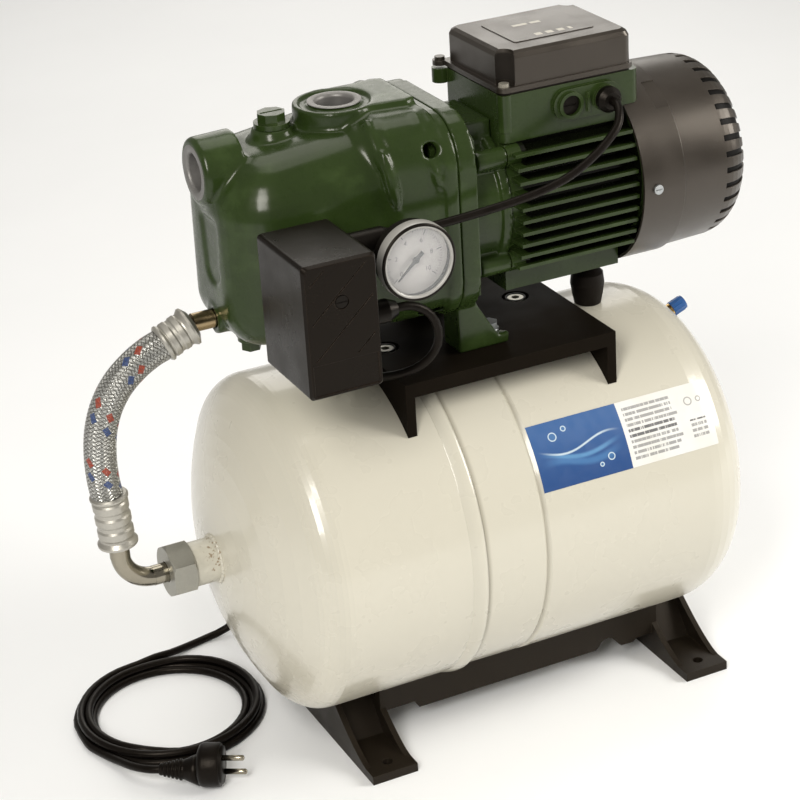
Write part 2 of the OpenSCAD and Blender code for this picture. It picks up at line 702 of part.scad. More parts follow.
foot_bolt_x = -16;
foot_bolt_y = 47;
bracket_end = motor_x0 - 0.3;
module motor_bracket() {
    color([0.17, 0.25, 0.15]) difference() {
        union() {
            plate_yz(flange_x, bracket_x, flange_y, shaft_z - flange_down + 0.5,
                     shaft_z + flange_up - 0.5, flange_r);
            // spigot in the pump body and the wall round the seal
            ring_x(-57.5, flange_x + 1, chamber_r - 0.3, 20, shaft_z);
            // tapered neck to the motor
            lathe([[bracket_x - 1, 22], [bracket_x - 1, 66], [bracket_x + 6, 60],
                   [bracket_end - 8, 60], [bracket_end - 8, motor_r + 3], [bracket_end, motor_r + 3],
                   [bracket_end, 22]], shaft_z);
            for (y = [-1, 1]) for (z = [-1, 1]) along_x(bracket_end - 26, bracket_end, 8.5,
                                                        y * 50, shaft_z + z * 44);
            for (m = [0, 1]) mirror([0, m, 0]) bracket_foot();
            // arch of the neck above the shaft
            translate([bracket_x - 1, -30, shaft_z + 40]) cube([bracket_end - bracket_x + 1, 60, 30]);
        }
        along_x(-58, 20, 9.5, 0, shaft_z);
        along_x(-57.6, -51.4, 19.7, 0, shaft_z);
        along_x(bracket_end - 13.4, bracket_end + 1, bearing_r + 0.05, 0, shaft_z);
        along_x(-46, bracket_end - 15, 24, 0, shaft_z);
        bolt_spots(flange_x - 1, 20, 4.4);
        for (m = [0, 1]) mirror([0, m, 0]) translate([foot_bolt_x, foot_bolt_y, 0]) {
            translate([0, 0, plat_z - 1]) cylinder(h = 20, r = 4.6);
            translate([0, -4.6, plat_z - 1]) cube([30, 9.2, 20]);
        }
    }
}

// Cast foot: leg under the flange, sole and curved gussets
module bracket_foot() {
    translate([flange_x + 1, 34, plat_z]) cube([bracket_t - 1, 28, 50]);
    translate([flange_x + 1, 34, plat_z]) cube([47 + foot_bolt_x + 13, 28, 8]);
    toe_x = flange_x + foot_bolt_x + 61 - bracket_x + 1;
    for (y = [34, 57]) translate([bracket_x - 1, y + 5, plat_z]) rotate([90, 0, 0]) linear_extrude(5)
        polygon(concat([[0, 0], [toe_x - 3, 0], [toe_x + 0.5, 4]],
                       arc([toe_x - 4.6, 13], 6, 330, 200, 6), [[5.5, 36], [3, 42], [0, 42]]));
}

module flange_bolts() {
    color([0.2, 0.26, 0.16]) for (y = [-1, 1]) for (z = [shaft_z + bolt_up, shaft_z - bolt_down]) {
        hex_x(flange_x0 - 5.5, flange_x0, 13, y * bolt_y, z);
        along_x(flange_x0 - 0.01, bracket_x + 1, 4, y * bolt_y, z);
        hex_x(bracket_x, bracket_x + 6.5, 13, y * bolt_y, z);
    }
}

module bracket_feet_bolts() {
    color([0.2, 0.2, 0.2]) for (s = [-1, 1]) translate([foot_bolt_x, s * foot_bolt_y, plat_z + 8]) {
        cylinder(h = 1.6, r = 8);
        translate([0, 0, 1.6]) cylinder(h = 5.3, r = 13 / sqrt(3), $fn = 6);
        translate([0, 0, -8 - plat_t - 8]) cylinder(h = 16.5 + plat_t, r = 4);
        translate([0, 0, -8 - plat_t - 7]) cylinder(h = 6.8, r = 13 / sqrt(3), $fn = 6);
    }
}

module priming_plug() {
    color([0.17, 0.22, 0.14]) translate([plug_x, 0, plug_z + 4]) difference() {
        union() {
            translate([0, 0, -15]) cylinder(h = 15.2, r = 8.6);
            cylinder(h = 4, r = 14.2);
            translate([0, 0, 3.9]) cylinder(h = 7.5, r = 11.4, $fn = 8);
        }
        translate([-9, -1.3, 9]) cube([18, 2.6, 4]);
    }
}

module drain_plug() {
    color([0.17, 0.22, 0.14]) translate([drain_x, 0, body_lo - 3]) {
        cylinder(h = 14, r = 6.4);
        translate([0, 0, -3]) cylinder(h = 3, r = 10.5);
        translate([0, 0, -11]) cylinder(h = 8.1, r = 8.2, $fn = 6);
    }
}

fin_rows = 10;
fin_mid = (fin_rows - 1) / 2;
box_floor = shaft_z + motor_r - 2;
module motor_frame() {
    color([0.15, 0.22, 0.13]) frame_tail();
    color([0.15, 0.22, 0.13]) difference() {
        union() {
            along_x(motor_x0, cover_x0, motor_r, 0, shaft_z);
            // flat cooling fins on both sides
            for (i = [0:fin_rows - 1]) let (dz = (i - fin_mid) * fin_pitch,
                tip = fin_y - 0.0042 * dz * dz) translate([motor_x0 + 3, -tip, shaft_z + dz - fin_t / 2])
                cube([cover_x0 - 1 - motor_x0 - 3, 2 * tip, fin_t]);
            for (i = [-2:2]) translate([motor_x0 + 3, i * 9 - 1.3, shaft_z - motor_r - 6])
                cube([cover_x0 - 1 - motor_x0 - 3, 2.6, 30]);
            // foot block under the motor
            translate([motor_x0 + 4, -38, shaft_z - 75]) cube([cover_x0 - 1 - motor_x0 - 4, 76, 24]);
            // through-bolt bosses at the bracket's side
            for (y = [-1, 1]) for (z = [-1, 1]) along_x(motor_x0, motor_x0 + 16, 8.5, y * 50,
                                                        shaft_z + z * 44);
            terminal_base();
        }
        along_x(motor_x0 - 1, cover_x0 + 1, 56, 0, shaft_z);
        translate([box_x0 + box_wall, -box_y + box_wall, box_floor + 4])
            cube([cover_x0 - 4 - box_x0 - box_wall, 2 * (box_y - box_wall), 80]);
        along_x(cover_x0 - 0.4, box_x1 + 1, cover_r + 0.4, 0, shaft_z);
        translate([60, 0, shaft_z + 40]) cylinder(h = 60, r = 9);
        for (x = [motor_gland[0], motor_gland[0] - entry_pitch])
            along_y(-box_y - 12, -box_y + box_wall + 1, 8.2, x, motor_gland[2]);
        translate([rubber_foot_x, 0, shaft_z - 76]) cylinder(h = 14, r = 3.1);
    }
}

// Cast terminal box on top of the motor
entry_pitch = 31.5;
module terminal_base() {
    difference() {
        translate([0, 0, shaft_z + 40]) linear_extrude(box_z - shaft_z - 40)
            round_rect(box_x0, box_x1, -box_y, box_y, 6);
        // the box's underside steps in to the motor
        for (s = [-1, 1]) translate([box_x0 - 1, s > 0 ? 40 : -60, shaft_z + 39])
            cube([box_x1 - box_x0 + 2, 20, 14]);
    }
    for (x = [motor_gland[0], motor_gland[0] - entry_pitch])
        along_y(-box_y - 6, -box_y + 4, 10.8, x, motor_gland[2]);
    // oblong pad round the two cable entries, with a rib between them
    translate([0, -box_y + 1, 0]) rotate([90, 0, 0]) linear_extrude(4.4)
        round_rect(motor_gland[0] - entry_pitch - 14.5, motor_gland[0] + 14.5,
                   motor_gland[2] - 12.5, motor_gland[2] + 13, 12);
    translate([motor_gland[0] - entry_pitch / 2 - 1.2, -box_y - 5.4, motor_gland[2] - 8])
        cube([2.4, 6, 16]);
    for (p = lid_sinks) translate([p[0], p[1], box_z - 30]) cylinder(h = 30, r = 6);
    translate([lid_ear[0], lid_ear[1], box_z - 12]) cylinder(h = 12, r = 7);
}

// Rear end of the frame's round wall, inside the fan cover
module frame_tail() {
    ring_x(cover_x0 - 1, motor_x1, motor_r, 56, shaft_z);
}

module stator_core() {
    color([0.5, 0.5, 0.5]) difference() {
        along_x(24, 98, 55.9, 0, shaft_z);
        along_x(23, 99, 31, 0, shaft_z);
        for (a = [0:15:345]) translate([23, 0, shaft_z]) rotate([a, 0, 0])
            translate([0, -2.2, 32.8]) cube([76, 4.4, 15]);
    }
}

module stator_windings() {
    color([0.62, 0.32, 0.14]) for (x = [6, 98.2]) {
        lathe(concat(arc([x + 4, 48], 3.9, 180, 90, 3), arc([x + 13.6, 48], 3.9, 90, 0, 3),
                     [[x + 17.6, 36]], arc([x + 13.6, 38], 3.9, 0, -90, 3),
                     arc([x + 4, 38], 3.9, 270, 180, 3)), shaft_z, 48);
    }
}

module rotor_core() {
    color([0.62, 0.62, 0.6]) {
        ring_x(26, 96, 31 - run_fit, shaft_r + 1.55, shaft_z);
        for (x = [21, 96]) ring_x(x, x + 5, 29, 19, shaft_z);
    }
}

bear_front = motor_x0 - 13.6;
bear_rear = motor_x1 + 2;
module motor_shaft() {
    color([0.7, 0.7, 0.7]) lathe([[-103, 0], [-103, 4.6], [-102, 5], [-90.1, 5], [-90.1, shaft_r],
        [bear_front - 4, shaft_r], [bear_front - 4, 8.5], [bear_rear + 14, 8.5],
        [bear_rear + 14, shaft_r], [188, shaft_r], [189, shaft_r - 1], [189, 0]], shaft_z, 48);
}

module bearings() {
    color([0.78, 0.78, 0.8]) for (x = [bear_front, bear_rear]) {
        ring_x(x, x + 12, bearing_r - 0.05, bearing_r - 4, shaft_z);
        ring_x(x, x + 12, 12.4, 8.55, shaft_z);
        ring_x(x + 2.6, x + 9.4, bearing_r - 4.1, 12.5, shaft_z);
    }
}

cover_fixings = [90, 180, 270];
module rear_end_shield() {
    color([0.5, 0.5, 0.5]) difference() {
        union() {
            along_x(motor_x1, motor_x1 + 6, motor_r + 2, 0, shaft_z);
            along_x(motor_x1 - 4, motor_x1 + 1, 55.8, 0, shaft_z);
            along_x(motor_x1, bear_rear + 14, 26, 0, shaft_z);
            for (a = cover_fixings) translate([0, 0, shaft_z]) rotate([a, 0, 0])
                translate([motor_x1, -5, 50]) cube([12, 10, cover_r - cover_t - 50.4]);
        }
        along_x(motor_x1 - 5, bear_rear - 2, 44, 0, shaft_z);
        along_x(bear_rear - 3, bear_rear + 12, bearing_r, 0, shaft_z);
        along_x(bear_rear, bear_rear + 30, 9.5, 0, shaft_z);
    }
}

module cooling_fan() {
    color([0.3, 0.3, 0.3]) difference() {
        union() {
            ring_x(158, 182, 14, shaft_r + 0.05, shaft_z);
            ring_x(158, 161, 60, 13, shaft_z);
            for (a = [0:36:324]) translate([160, 0, shaft_z]) rotate([a, 0, 0])
                translate([0, -1.2, 12]) cube([cover_x1 - 172, 2.4, 52]);
        }
        lathe([[189.5, 0], [190, 24], [cover_x1 - 10, 24], [cover_x1 - 10, 0]], shaft_z);
    }
}

// Outline of the fan cover's outside, from rim to rear face
function cover_outline(g) = concat(
    [[cover_x0, cover_r + g], [collar_x, cover_r + g], [collar_x + 1.5, cover_r - 2 + g]],
    [[cover_x1 - 26, cover_r - 3.5 + g]],
    arc([cover_x1 - 26, cover_r - 29.5], 26 + g, 80, 0, 7));

module fan_cover() {
    color([0.2, 0.18, 0.16]) difference() {
        lathe(concat([[cover_x0, 0]], cover_outline(0), [[cover_x1, 0]]), shaft_z);
        lathe(concat([[cover_x0 - 1, 0], [cover_x0 - 1, cover_r - cover_t]],
                     [for (i = [1:len(cover_outline(0)) - 1]) cover_outline(-cover_t)[i]],
                     [[cover_x1 - cover_t, 0]]), shaft_z);
        // air slots round the shoulder
        for (i = [0:slots - 1]) translate([0, 0, shaft_z]) rotate([360 * i / slots, 0, 0])
            translate([cover_x1 - 28, -slot_w / 2, 46]) cube([40, slot_w, 40]);
        // ring slots of the rear face
        for (i = [0:11]) translate([0, 0, shaft_z]) rotate([30 * i, 0, 0])
            translate([cover_x1 - 6, -2, 18]) cube([12, 4, 22]);
        // notch of the collar
        for (a = [34, 214]) translate([0, 0, shaft_z]) rotate([a, 0, 0]) difference() {
            translate([collar_x - 12, -14, cover_r - 2]) cube([20, 28, 8]);
            along_x(collar_x - 13, collar_x + 9, cover_r - 2, 0, 0);
        }
        for (a = cover_fixings) translate([0, 0, shaft_z]) rotate([a, 0, 0])
            translate([motor_x1 + 2, 0, 60]) cylinder(h = 30, r = 2.3);
    }
}

module fan_cover_screws() {
    color([0.75, 0.75, 0.72]) for (a = cover_fixings) translate([0, 0, shaft_z]) rotate([a, 0, 0])
        translate([motor_x1 + 2, 0, 0]) difference() {
            union() {
                translate([0, 0, cover_r - cover_t + 0.1]) cylinder(h = cover_t + 0.2, r = 2);
                translate([0, 0, cover_r + 0.2]) cylinder(h = 2, r = 4);
            }
            translate([-3, -0.6, cover_r + 1.2]) cube([6, 1.2, 2]);
        }
}

lid_gap = 2.2;
lid_x0 = box_x0 + 2.5;
lid_x1 = box_x1 - 6;
lid_y1 = box_y - 2.5;
lid_sinks = [[box_x0 + 5, -box_y + 5], [lid_x1 - 5, box_y - 5]];
lid_ear = [box_x0 - 3, box_y + 1];
lid_screws = concat(lid_sinks, [lid_ear]);
module terminal_lid() {
    z0 = box_z + lid_gap;
    color([0.2, 0.18, 0.17]) difference() {
        union() {
            translate([0, 0, z0]) linear_extrude(4) round_rect(box_x0 - 1.5, lid_x1 + 1.5,
                                                               -box_y - 1.5, box_y + 1.5, 7);
            translate([lid_ear[0], lid_ear[1], z0]) cylinder(h = 4, r = 6);
            hull() {
                for (c = [[6.5, 0], [3, 1.4], [1, 4]]) translate([0, 0, lid_top - c[0]])
                    linear_extrude(1) round_rect(lid_x0 + c[1], lid_x1 - 0.5 - c[1], -box_y + c[1],
                                                 lid_y1 - c[1], 6);
                translate([0, 0, z0 + 3]) linear_extrude(1)
                    round_rect(lid_x0, lid_x1 - 0.5, -box_y, lid_y1, 6);
            }
            // raised panel of the lid
            translate([0, 0, lid_top - 1]) linear_extrude(1.6)
                round_rect(box_x0 + 24, lid_x1 - 22, -box_y + 20, box_y - 20, 3);
        }
        translate([0, 0, z0 - 1]) linear_extrude(lid_top - z0 - 2.5)
            round_rect(lid_x0 + box_wall + 11, lid_x1 - box_wall - 13, -box_y + box_wall + 1,
                       lid_y1 - box_wall - 1, 5);
        translate([0, 0, z0 - 1]) linear_extrude(lid_top - z0 - 2.5)
            round_rect(lid_x0 + box_wall, lid_x1 - box_wall - 1, -box_y + box_wall + 15,
                       lid_y1 - box_wall - 13, 5);
        // sunk corners for the lid screws
        for (p = lid_sinks) translate([p[0], p[1], z0 + 4]) cylinder(h = 60, r = 8.6);
        for (p = lid_sinks) translate([p[0] < box_y ? box_x0 - 5 : p[0],
                                       p[1] < 0 ? -box_y - 5 : p[1], z0 + 4])
            cube([p[0] < box_y ? 10 : lid_x1 + 5 - p[0], p[1] < 0 ? 10 : box_y + 5 - p[1], 60]);
        translate([lid_ear[0], lid_ear[1], z0 + 4]) cylinder(h = 60, r = 5.2);
        for (p = lid_screws) translate([p[0], p[1], z0 - 1]) cylinder(h = 10, r = 2.3);
    }
    color([0.8, 0.8, 0.78]) for (p = lid_screws) translate([p[0], p[1], z0]) {
        translate([0, 0, 4.1]) cylinder(h = 2.6, r = 4.2);
        translate([0, 0, 0]) cylinder(h = 4.2, r = 2.1);
    }
}

module lid_gasket() {
    color([0.1, 0.1, 0.1]) translate([0, 0, box_z]) linear_extrude(lid_gap) difference() {
        round_rect(box_x0 + 0.5, lid_x1 - 0.5, -box_y + 0.5, box_y - 0.5, 6);
        round_rect(box_x0 + box_wall + 10, lid_x1 - box_wall - 10, -box_y + box_wall,
                   box_y - box_wall, 4);
        round_rect(box_x0 + box_wall, lid_x1 - box_wall, -box_y + box_wall + 10,
                   box_y - box_wall - 10, 4);
        for (p = lid_screws) translate(p) circle(r = 2.3, $fn = 24);
    }
}

cap_r = 17;
module capacitor() {
    color([0.85, 0.85, 0.82]) {
        along_x(24, 92, cap_r, 20, box_floor + 4 + cap_r);
        along_x(92, 97, 5, 20, box_floor + 4 + cap_r);
    }
}

module terminal_block() {
    color([0.9, 0.88, 0.8]) translate([40, -34, box_floor + 4]) difference() {
        cube([48, 20, 16]);
        for (i = [0:3]) translate([6 + 12 * i, 10, 4]) cylinder(h = 20, r = 3);
    }
}

// Screwed gland for the cable and the blanking plug beside it
module cable_entry_fittings() {
    color([0.14, 0.13, 0.12]) {
        difference() {
            union() {
                along_y(-box_y - 6, -box_y + 3, 8, motor_gland[0], motor_gland[2]);
                along_y(motor_gland_tip + 4, -box_y - 6, 10.5, motor_gland[0], motor_gland[2]);
                translate([motor_gland[0], motor_gland_tip + 4, motor_gland[2]]) rotate([90, 0, 0])
                    cylinder(h = 4, r1 = 10.5, r2 = 7);
            }
            along_y(motor_gland_tip + 6, -box_y + 5, 2.6, motor_gland[0], motor_gland[2]);
        }
        difference() {
            along_y(-box_y - 3, -box_y + 3, 8, motor_gland[0] - entry_pitch, motor_gland[2]);
            translate([motor_gland[0] - entry_pitch - 5.5, -box_y - 4, motor_gland[2] - 1])
                cube([11, 2, 2]);
        }
    }
}

module motor_rubber_foot() {
    top = shaft_z - 75;
    color([0.1, 0.1, 0.1]) difference() {
        union() {
            translate([rubber_foot_x, 0, top - 50]) rotate_extrude()
                polygon([[0, 0], [10.5, 0], [13, 12], [14.5, 22], [13.5, 31], [8, 36], [8, 50],
                         [0, 50]]);
            translate([rubber_foot_x, 0, top - 2]) cylinder(h = 10, r = 3);
        }
        tank_solid(cradle_fit);
    }
}

sw_cz = sw_z + sw_h / 2;
sw_cx = sw_x + sw_w / 2;
cover_screw_z = sw_cz + 20.5;
groove_pitch = 30;
base_t = 5;
spring_x = nipple_x - 6;
spring_z = nipple_z - 4;
module switch_base() {
    color([0.3, 0.28, 0.26]) difference() {
        union() {
            translate([sw_x + sw_wall + 0.3, sw_back - base_t, sw_z + sw_wall + 0.3])
                cube([sw_w - 2 * sw_wall - 0.6, base_t, sw_h - 2 * sw_wall - 0.6]);
            // round chamber of the diaphragm
            along_y(sw_back - 26, sw_back - 1, 18, spring_x, spring_z);
            // side bosses of the glands
            for (z = [gland_z, mains_gland_z]) translate([sw_x1 - 10, sw_back - 22, z - 11])
                cube([10 - sw_wall - 0.3, 22, 22]);
            // fork and pin of the lever
            for (x = [sw_x + 5.5, sw_x + 25.5]) translate([x, lever_y - 3, lever_z - 4])
                cube([3, sw_back - 4 - lever_y + 3, 8]);
            along_x(sw_x + 5.6, sw_x + 28.4, 0.9, lever_y, lever_z);
            // post of the cover screw
            along_y(sw_front + 12, sw_back - 1, 4.2, sw_cx, cover_screw_z);
        }
        for (z = [gland_z, mains_gland_z]) along_x(sw_x1 - 12, sw_x1 + 2, 7.2, gland_y, z);
        along_y(sw_back - 14, sw_back + 2, 6.9, nipple_x, nipple_z);
        along_y(sw_front + 10, sw_front + 40, 1.8, sw_cx, cover_screw_z);
    }
}

module switch_cover() {
    color([0.19, 0.16, 0.15]) difference() {
        union() {
            hull() {
                translate([sw_x, sw_back, sw_z]) rotate([90, 0, 0]) linear_extrude(sw_back - sw_front - 3)
                    round_rect(0, sw_w, 0, sw_h, 3.5);
                translate([sw_x + 1.6, sw_front + 1, sw_z + 1.6]) rotate([90, 0, 0]) linear_extrude(1)
                    round_rect(0, sw_w - 3.2, 0, sw_h - 3.2, 4);
            }
        }
        translate([sw_x + sw_wall, sw_front + sw_wall, sw_z + sw_wall])
            cube([sw_w - 2 * sw_wall, 100, sw_h - 2 * sw_wall]);
        // slanted grooves of the front
        intersection() {
            translate([sw_x + 5, sw_front - 1, sw_z + 31]) cube([sw_w - 10, 1.8, sw_h - 36]);
            for (i = [-1:2]) translate([sw_cx, sw_front - 2, sw_cz - 0.8 + i * groove_pitch])
                rotate([0, -42, 0]) translate([-80, 0, -0.6]) cube([160, 4, 1.2]);
        }
        along_y(sw_front - 1, sw_front + 1.4, 5.6, sw_cx, cover_screw_z);
        along_y(sw_front - 1, sw_front + 10, 2.3, sw_cx, cover_screw_z);
        for (z = [gland_z, mains_gland_z]) {
            along_x(sw_x1 - 6, sw_x1 + 6, 7.6, gland_y, z);
            translate([sw_x1 - 6, gland_y, z - 7.6]) cube([12, 60, 15.2]);
        }
        // lower panel, set back a little
        translate([sw_x + 3.5, sw_front - 1, sw_z + 3.5]) cube([sw_w - 7, 1.6, 24]);
    }
}

module switch_cover_screw() {
    color([0.3, 0.28, 0.25]) difference() {
        union() {
            along_y(sw_front + 0.1, sw_front + 1.35, 4.8, sw_cx, cover_screw_z);
            along_y(sw_front + 1.3, sw_front + 26, 1.7, sw_cx, cover_screw_z);
        }
        translate([sw_cx - 5, sw_front - 0.2, cover_screw_z - 0.6]) cube([10, 0.9, 1.2]);
    }
}

// Range spring on its post, the two nuts and the contact block
module switch_mechanism() {
    post_y = sw_front + 26;
    cx = spring_x;
    cz = spring_z;
    color([0.7, 0.7, 0.68]) {
        along_y(post_y - 8, sw_back - 26.1, 3, cx, cz);
        translate([cx, post_y, cz]) rotate([-90, 0, 0]) difference() {
            cylinder(h = 6, r = 8, $fn = 6);
            translate([0, 0, -1]) cylinder(h = 8, r = 3.1);
        }
        sweep([for (i = [0:60]) [cx + 7 * cos(i * 36), post_y + 7.6 + i * 0.33, cz + 7 * sin(i * 36)]],
              1.1, 6, [0, 1, 0]);
    }
    color([0.1, 0.1, 0.1]) translate([sw_x + 8, sw_back - 30, sw_z + 80]) cube([26, 24.7, 20]);
}

lever_y = sw_back - 34;
lever_z = sw_z + 18;
module switch_lever() {
    color([0.75, 0.7, 0.5]) difference() {
        translate([sw_x + 9, lever_y - 1.5, sw_z + 14]) cube([16, 3, 70]);
        translate([sw_x + 8, lever_y, lever_z]) rotate([0, 90, 0])
            cylinder(h = 20, r = 0.9 + spindle_fit);
    }
}

module switch_glands() {
    color([0.12, 0.11, 0.11]) for (z = [gland_z, mains_gland_z]) difference() {
        union() {
            along_x(sw_x1 - 9, sw_x1 + 1, 6.9, gland_y, z);
            hex_x(sw_x1 + 0.3, sw_x1 + 7, 18.4, gland_y, z);
            along_x(sw_x1 + 7, sw_x1 + gland_len - 8, 9.4, gland_y, z);
            translate([sw_x1 + gland_len - 8, gland_y, z]) rotate([0, 90, 0])
                cylinder(h = 8, r1 = 9.4, r2 = 6);
        }
        along_x(sw_x1 - 10, sw_x1 + gland_len - 10, 2.6, gland_y, z);
    }
}

module switch_nipple() {
    color([0.75, 0.62, 0.35]) difference() {
        union() {
            along_y(sw_back - 12, -body_y + 8, 6.6, nipple_x, nipple_z);
            translate([nipple_x, sw_back + 0.3, nipple_z]) rotate([-90, 0, 0])
                cylinder(h = -body_y - 4.3 - sw_back, r = 9.4, $fn = 6);
        }
        along_y(sw_back - 13, -body_y + 9, 3, nipple_x, nipple_z);
    }
}

module gauge_case() {
    color([0.1, 0.1, 0.1]) difference() {
        union() {
            translate([gauge_x, gauge_back, gauge_z]) rotate([90, 0, 0]) rotate_extrude($fn = 96)
                polygon([[0, 0], [gauge_r - 4, 0], [gauge_r - 2, 1.5], [gauge_r - 2, gauge_d - 6],
                         [gauge_r, gauge_d - 5], [gauge_r, gauge_d - 0.6], [gauge_r - 0.8, gauge_d],
                         [gauge_r - 2.2, gauge_d], [gauge_r - 2.4, 10], [0, 10]]);
            along_y(gauge_back - 1, -body_y - 4.3, 7.6, gauge_x, gauge_stem_z);
            along_y(-body_y - 5, -body_y + 8, 6.6, gauge_x, gauge_stem_z);
        }
        along_y(gauge_back - 0.5, -body_y + 9, 2.5, gauge_x, gauge_stem_z);
    }
}

module gauge_dial() {
    color([0.93, 0.93, 0.93]) difference() {
        along_y(gauge_front + 9.4, gauge_back - 10.3, gauge_r - 2.9, gauge_x, gauge_z);
        along_y(gauge_front + 8, gauge_back, 0.8 + spindle_fit, gauge_x, gauge_z);
    }
}

pointer_y = gauge_front + 6;
pointer_a = 222;
module gauge_pointer() {
    color([0.1, 0.1, 0.1]) {
        translate([gauge_x, pointer_y, gauge_z]) rotate([90, 0, 0]) rotate(pointer_a)
            translate([0, 0, -0.6]) linear_extrude(1)
                polygon([[-8, -1.6], [0, -1.3], [21, -0.35], [21, 0.35], [0, 1.3], [-8, 1.6]]);
        along_y(pointer_y - 0.8, pointer_y + 0.9, 2.6, gauge_x, gauge_z);
        along_y(pointer_y, gauge_back - 10.6, 0.8, gauge_x, gauge_z);
    }
}

module gauge_window() {
    color([0.8, 0.85, 0.9, 0.3]) along_y(gauge_front + 1.2, gauge_front + 3, gauge_r - 2.6, gauge_x,
                                         gauge_z);
}

nut_x0 = conn_x - 0.3 - nut_len;
thread_end = conn_x - thread_len;
collar_end = thread_end - 5.5;
module union_nut() {
    color([0.7, 0.7, 0.7]) difference() {
        intersection() {
            hex_x(nut_x0, nut_x0 + nut_len, nut_af, 0, tank_z);
            lathe([[nut_x0, 0], [nut_x0, nut_af / 2 + 0.3], [nut_x0 + 2, nut_af / sqrt(3)],
                   [nut_x0 + nut_len - 2, nut_af / sqrt(3)], [nut_x0 + nut_len, nut_af / 2 + 0.3],
                   [nut_x0 + nut_len, 0]], tank_z);
        }
        along_x(collar_end - 0.3, nut_x0 + nut_len + 1, thread_r + nut_fit, 0, tank_z);
        along_x(nut_x0 - 1, collar_end, elbow_r + 0.7, 0, tank_z);
    }
}

// Bent tube with its collar and flat gasket in the union
elbow_bend = 27;
elbow_x = -331;
module hose_elbow() {
    color([0.72, 0.72, 0.7]) {
        intersection() {
            translate([elbow_x + elbow_bend, 0, tank_z + elbow_bend]) rotate([90, 0, 0])
                rotate_extrude($fn = 64) translate([elbow_bend, 0]) circle(r = elbow_r, $fn = 36);
            translate([elbow_x - 10, -20, tank_z - 20])
                cube([elbow_bend + 10, 40, elbow_bend + 20]);
        }
        translate([elbow_x, 0, tank_z + elbow_bend - 2])
            cylinder(h = elbow_top - tank_z - elbow_bend + 2, r = elbow_r + 0.25);
        along_x(elbow_x + elbow_bend - 2, thread_end - 2.5, elbow_r + 0.25, 0, tank_z);
        along_x(collar_end, thread_end - 2.2, thread_r - 1.2, 0, tank_z);
    }
    color([0.1, 0.1, 0.1]) ring_x(thread_end - 2.2, thread_end, thread_r - 1, 9, tank_z);
}

// A crimped ferrule: flared lip at its end, n shallow crimp rings and a bead at the hose
module ferrule(len, n) {
    step = (len - 12) / n;
    rotate_extrude($fn = 64) polygon(concat(
        [[0, 0], [elbow_r + 3, 0], [ferrule_r - 1, 1.5], [ferrule_r + 1.6, 3], [ferrule_r + 1.8, 5],
         [ferrule_r - 0.6, 8]],
        [for (i = [0:n - 1]) for (q = [[0.15, -0.9], [0.3, 0], [0.75, 0], [0.9, -0.9]])
            [ferrule_r + q[1], 8 + (i + q[0]) * step]],
        [[ferrule_r + 0.9, len - 3], [ferrule_r + 0.9, len - 1.5], [ferrule_r - 0.6, len], [0, len]]));
}

ferrule_tilt = -4;
module hose_ferrules() {
    color([0.75, 0.75, 0.75]) {
        translate([elbow_x, 0, elbow_top]) rotate([0, ferrule_tilt, 0])
            ferrule(ferrule_low, 3);
        translate([-250, 0, tail_z - 0.4]) rotate([0, -113, 0]) ferrule(29.5, 2);
    }
}

module hose_braid() {
    color([0.7, 0.7, 0.72]) sweep(smooth(hose_route, 2), hose_r, 12, [0, 1, 0]);
}

module hose_tail() {
    color([0.72, 0.66, 0.5]) {
        along_x(-250.5, body_x0 - 1, 7.6, 0, tail_z);
        along_x(body_x0 - 1.01, body_x0 + 16, 7, 0, tail_z);
    }
}

// Plug, drawn along X from the cord and turned to its place on the floor
module mains_plug() {
    color([0.1, 0.1, 0.1]) translate([plug_from[0], plug_from[1], 14]) rotate([0, 0, plug_turn])
        translate([4, 0, 0]) {
            lathe([[0, 0], [0, 5.2], [16, 7.6], [22, 9], [28, 11.6], [34, 13.9], [34, 0]], 0, 48);
            difference() {
                translate([0, 0, 4.7]) union() {
                    along_x(33.9, 52, plug_r, 0, 0);
                    along_x(51.9, 54, plug_r - 1.5, 0, 0);
                }
                for (a = [20, 200]) translate([0, 0, 4.7]) rotate([a, 0, 0])
                    translate([36, -4, plug_r - 3]) cube([20, 8, 5]);
            }
        }
    color([0.8, 0.8, 0.78]) translate([plug_from[0], plug_from[1], 18.7]) rotate([0, 0, plug_turn])
        rotate([20, 0, 0]) for (s = [-1, 1]) along_x(57.9, 77, 2.4, 0, s * 9.5);
}

module motor_cable() {
    color([0.14, 0.12, 0.11]) sweep(smooth(motor_route, 2), cord_r, 8, [0, 0, 1]);
}

module mains_lead() {
    color([0.08, 0.07, 0.07]) {
        sweep(smooth(lead_route, 2), cord_r, 8, [0, 0, 1]);
        translate([coil_c[0], coil_c[1], 0]) rotate_extrude($fn = 72)
            round_rect(coil_r - coil_half, coil_r + coil_half, 0.01, 14, 5);
        sweep(tail_route, cord_r, 8, [0, 0, 1]);
    }
}

tank_front_shell();
tank_rear_shell();
tank_water_liner();
tank_diaphragm();
tank_clench_ring();
water_connection();
air_valve();
air_valve_cap();
base_cradle();
pump_platform();
platform_screws();
pump_body();
flange_gasket();
ejector_nozzle();
ejector_venturi();
diffuser();
impeller();
impeller_nut();
seal_stationary();
seal_rotating();
motor_bracket();
flange_bolts();
bracket_feet_bolts();
priming_plug();
drain_plug();
motor_frame();
stator_core();
stator_windings();
rotor_core();
motor_shaft();
bearings();
rear_end_shield();
cooling_fan();
fan_cover();
fan_cover_screws();
terminal_lid();
lid_gasket();
capacitor();
terminal_block();
cable_entry_fittings();
motor_rubber_foot();
switch_base();
switch_cover();
switch_cover_screw();
switch_mechanism();
switch_lever();
switch_glands();
switch_nipple();
gauge_case();
gauge_dial();
gauge_pointer();
gauge_window();
union_nut();
hose_elbow();
hose_ferrules();
hose_braid();
hose_tail();
mains_plug();
motor_cable();
mains_lead();
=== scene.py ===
import math

import bmesh
import bpy
from mathutils import Matrix, Vector


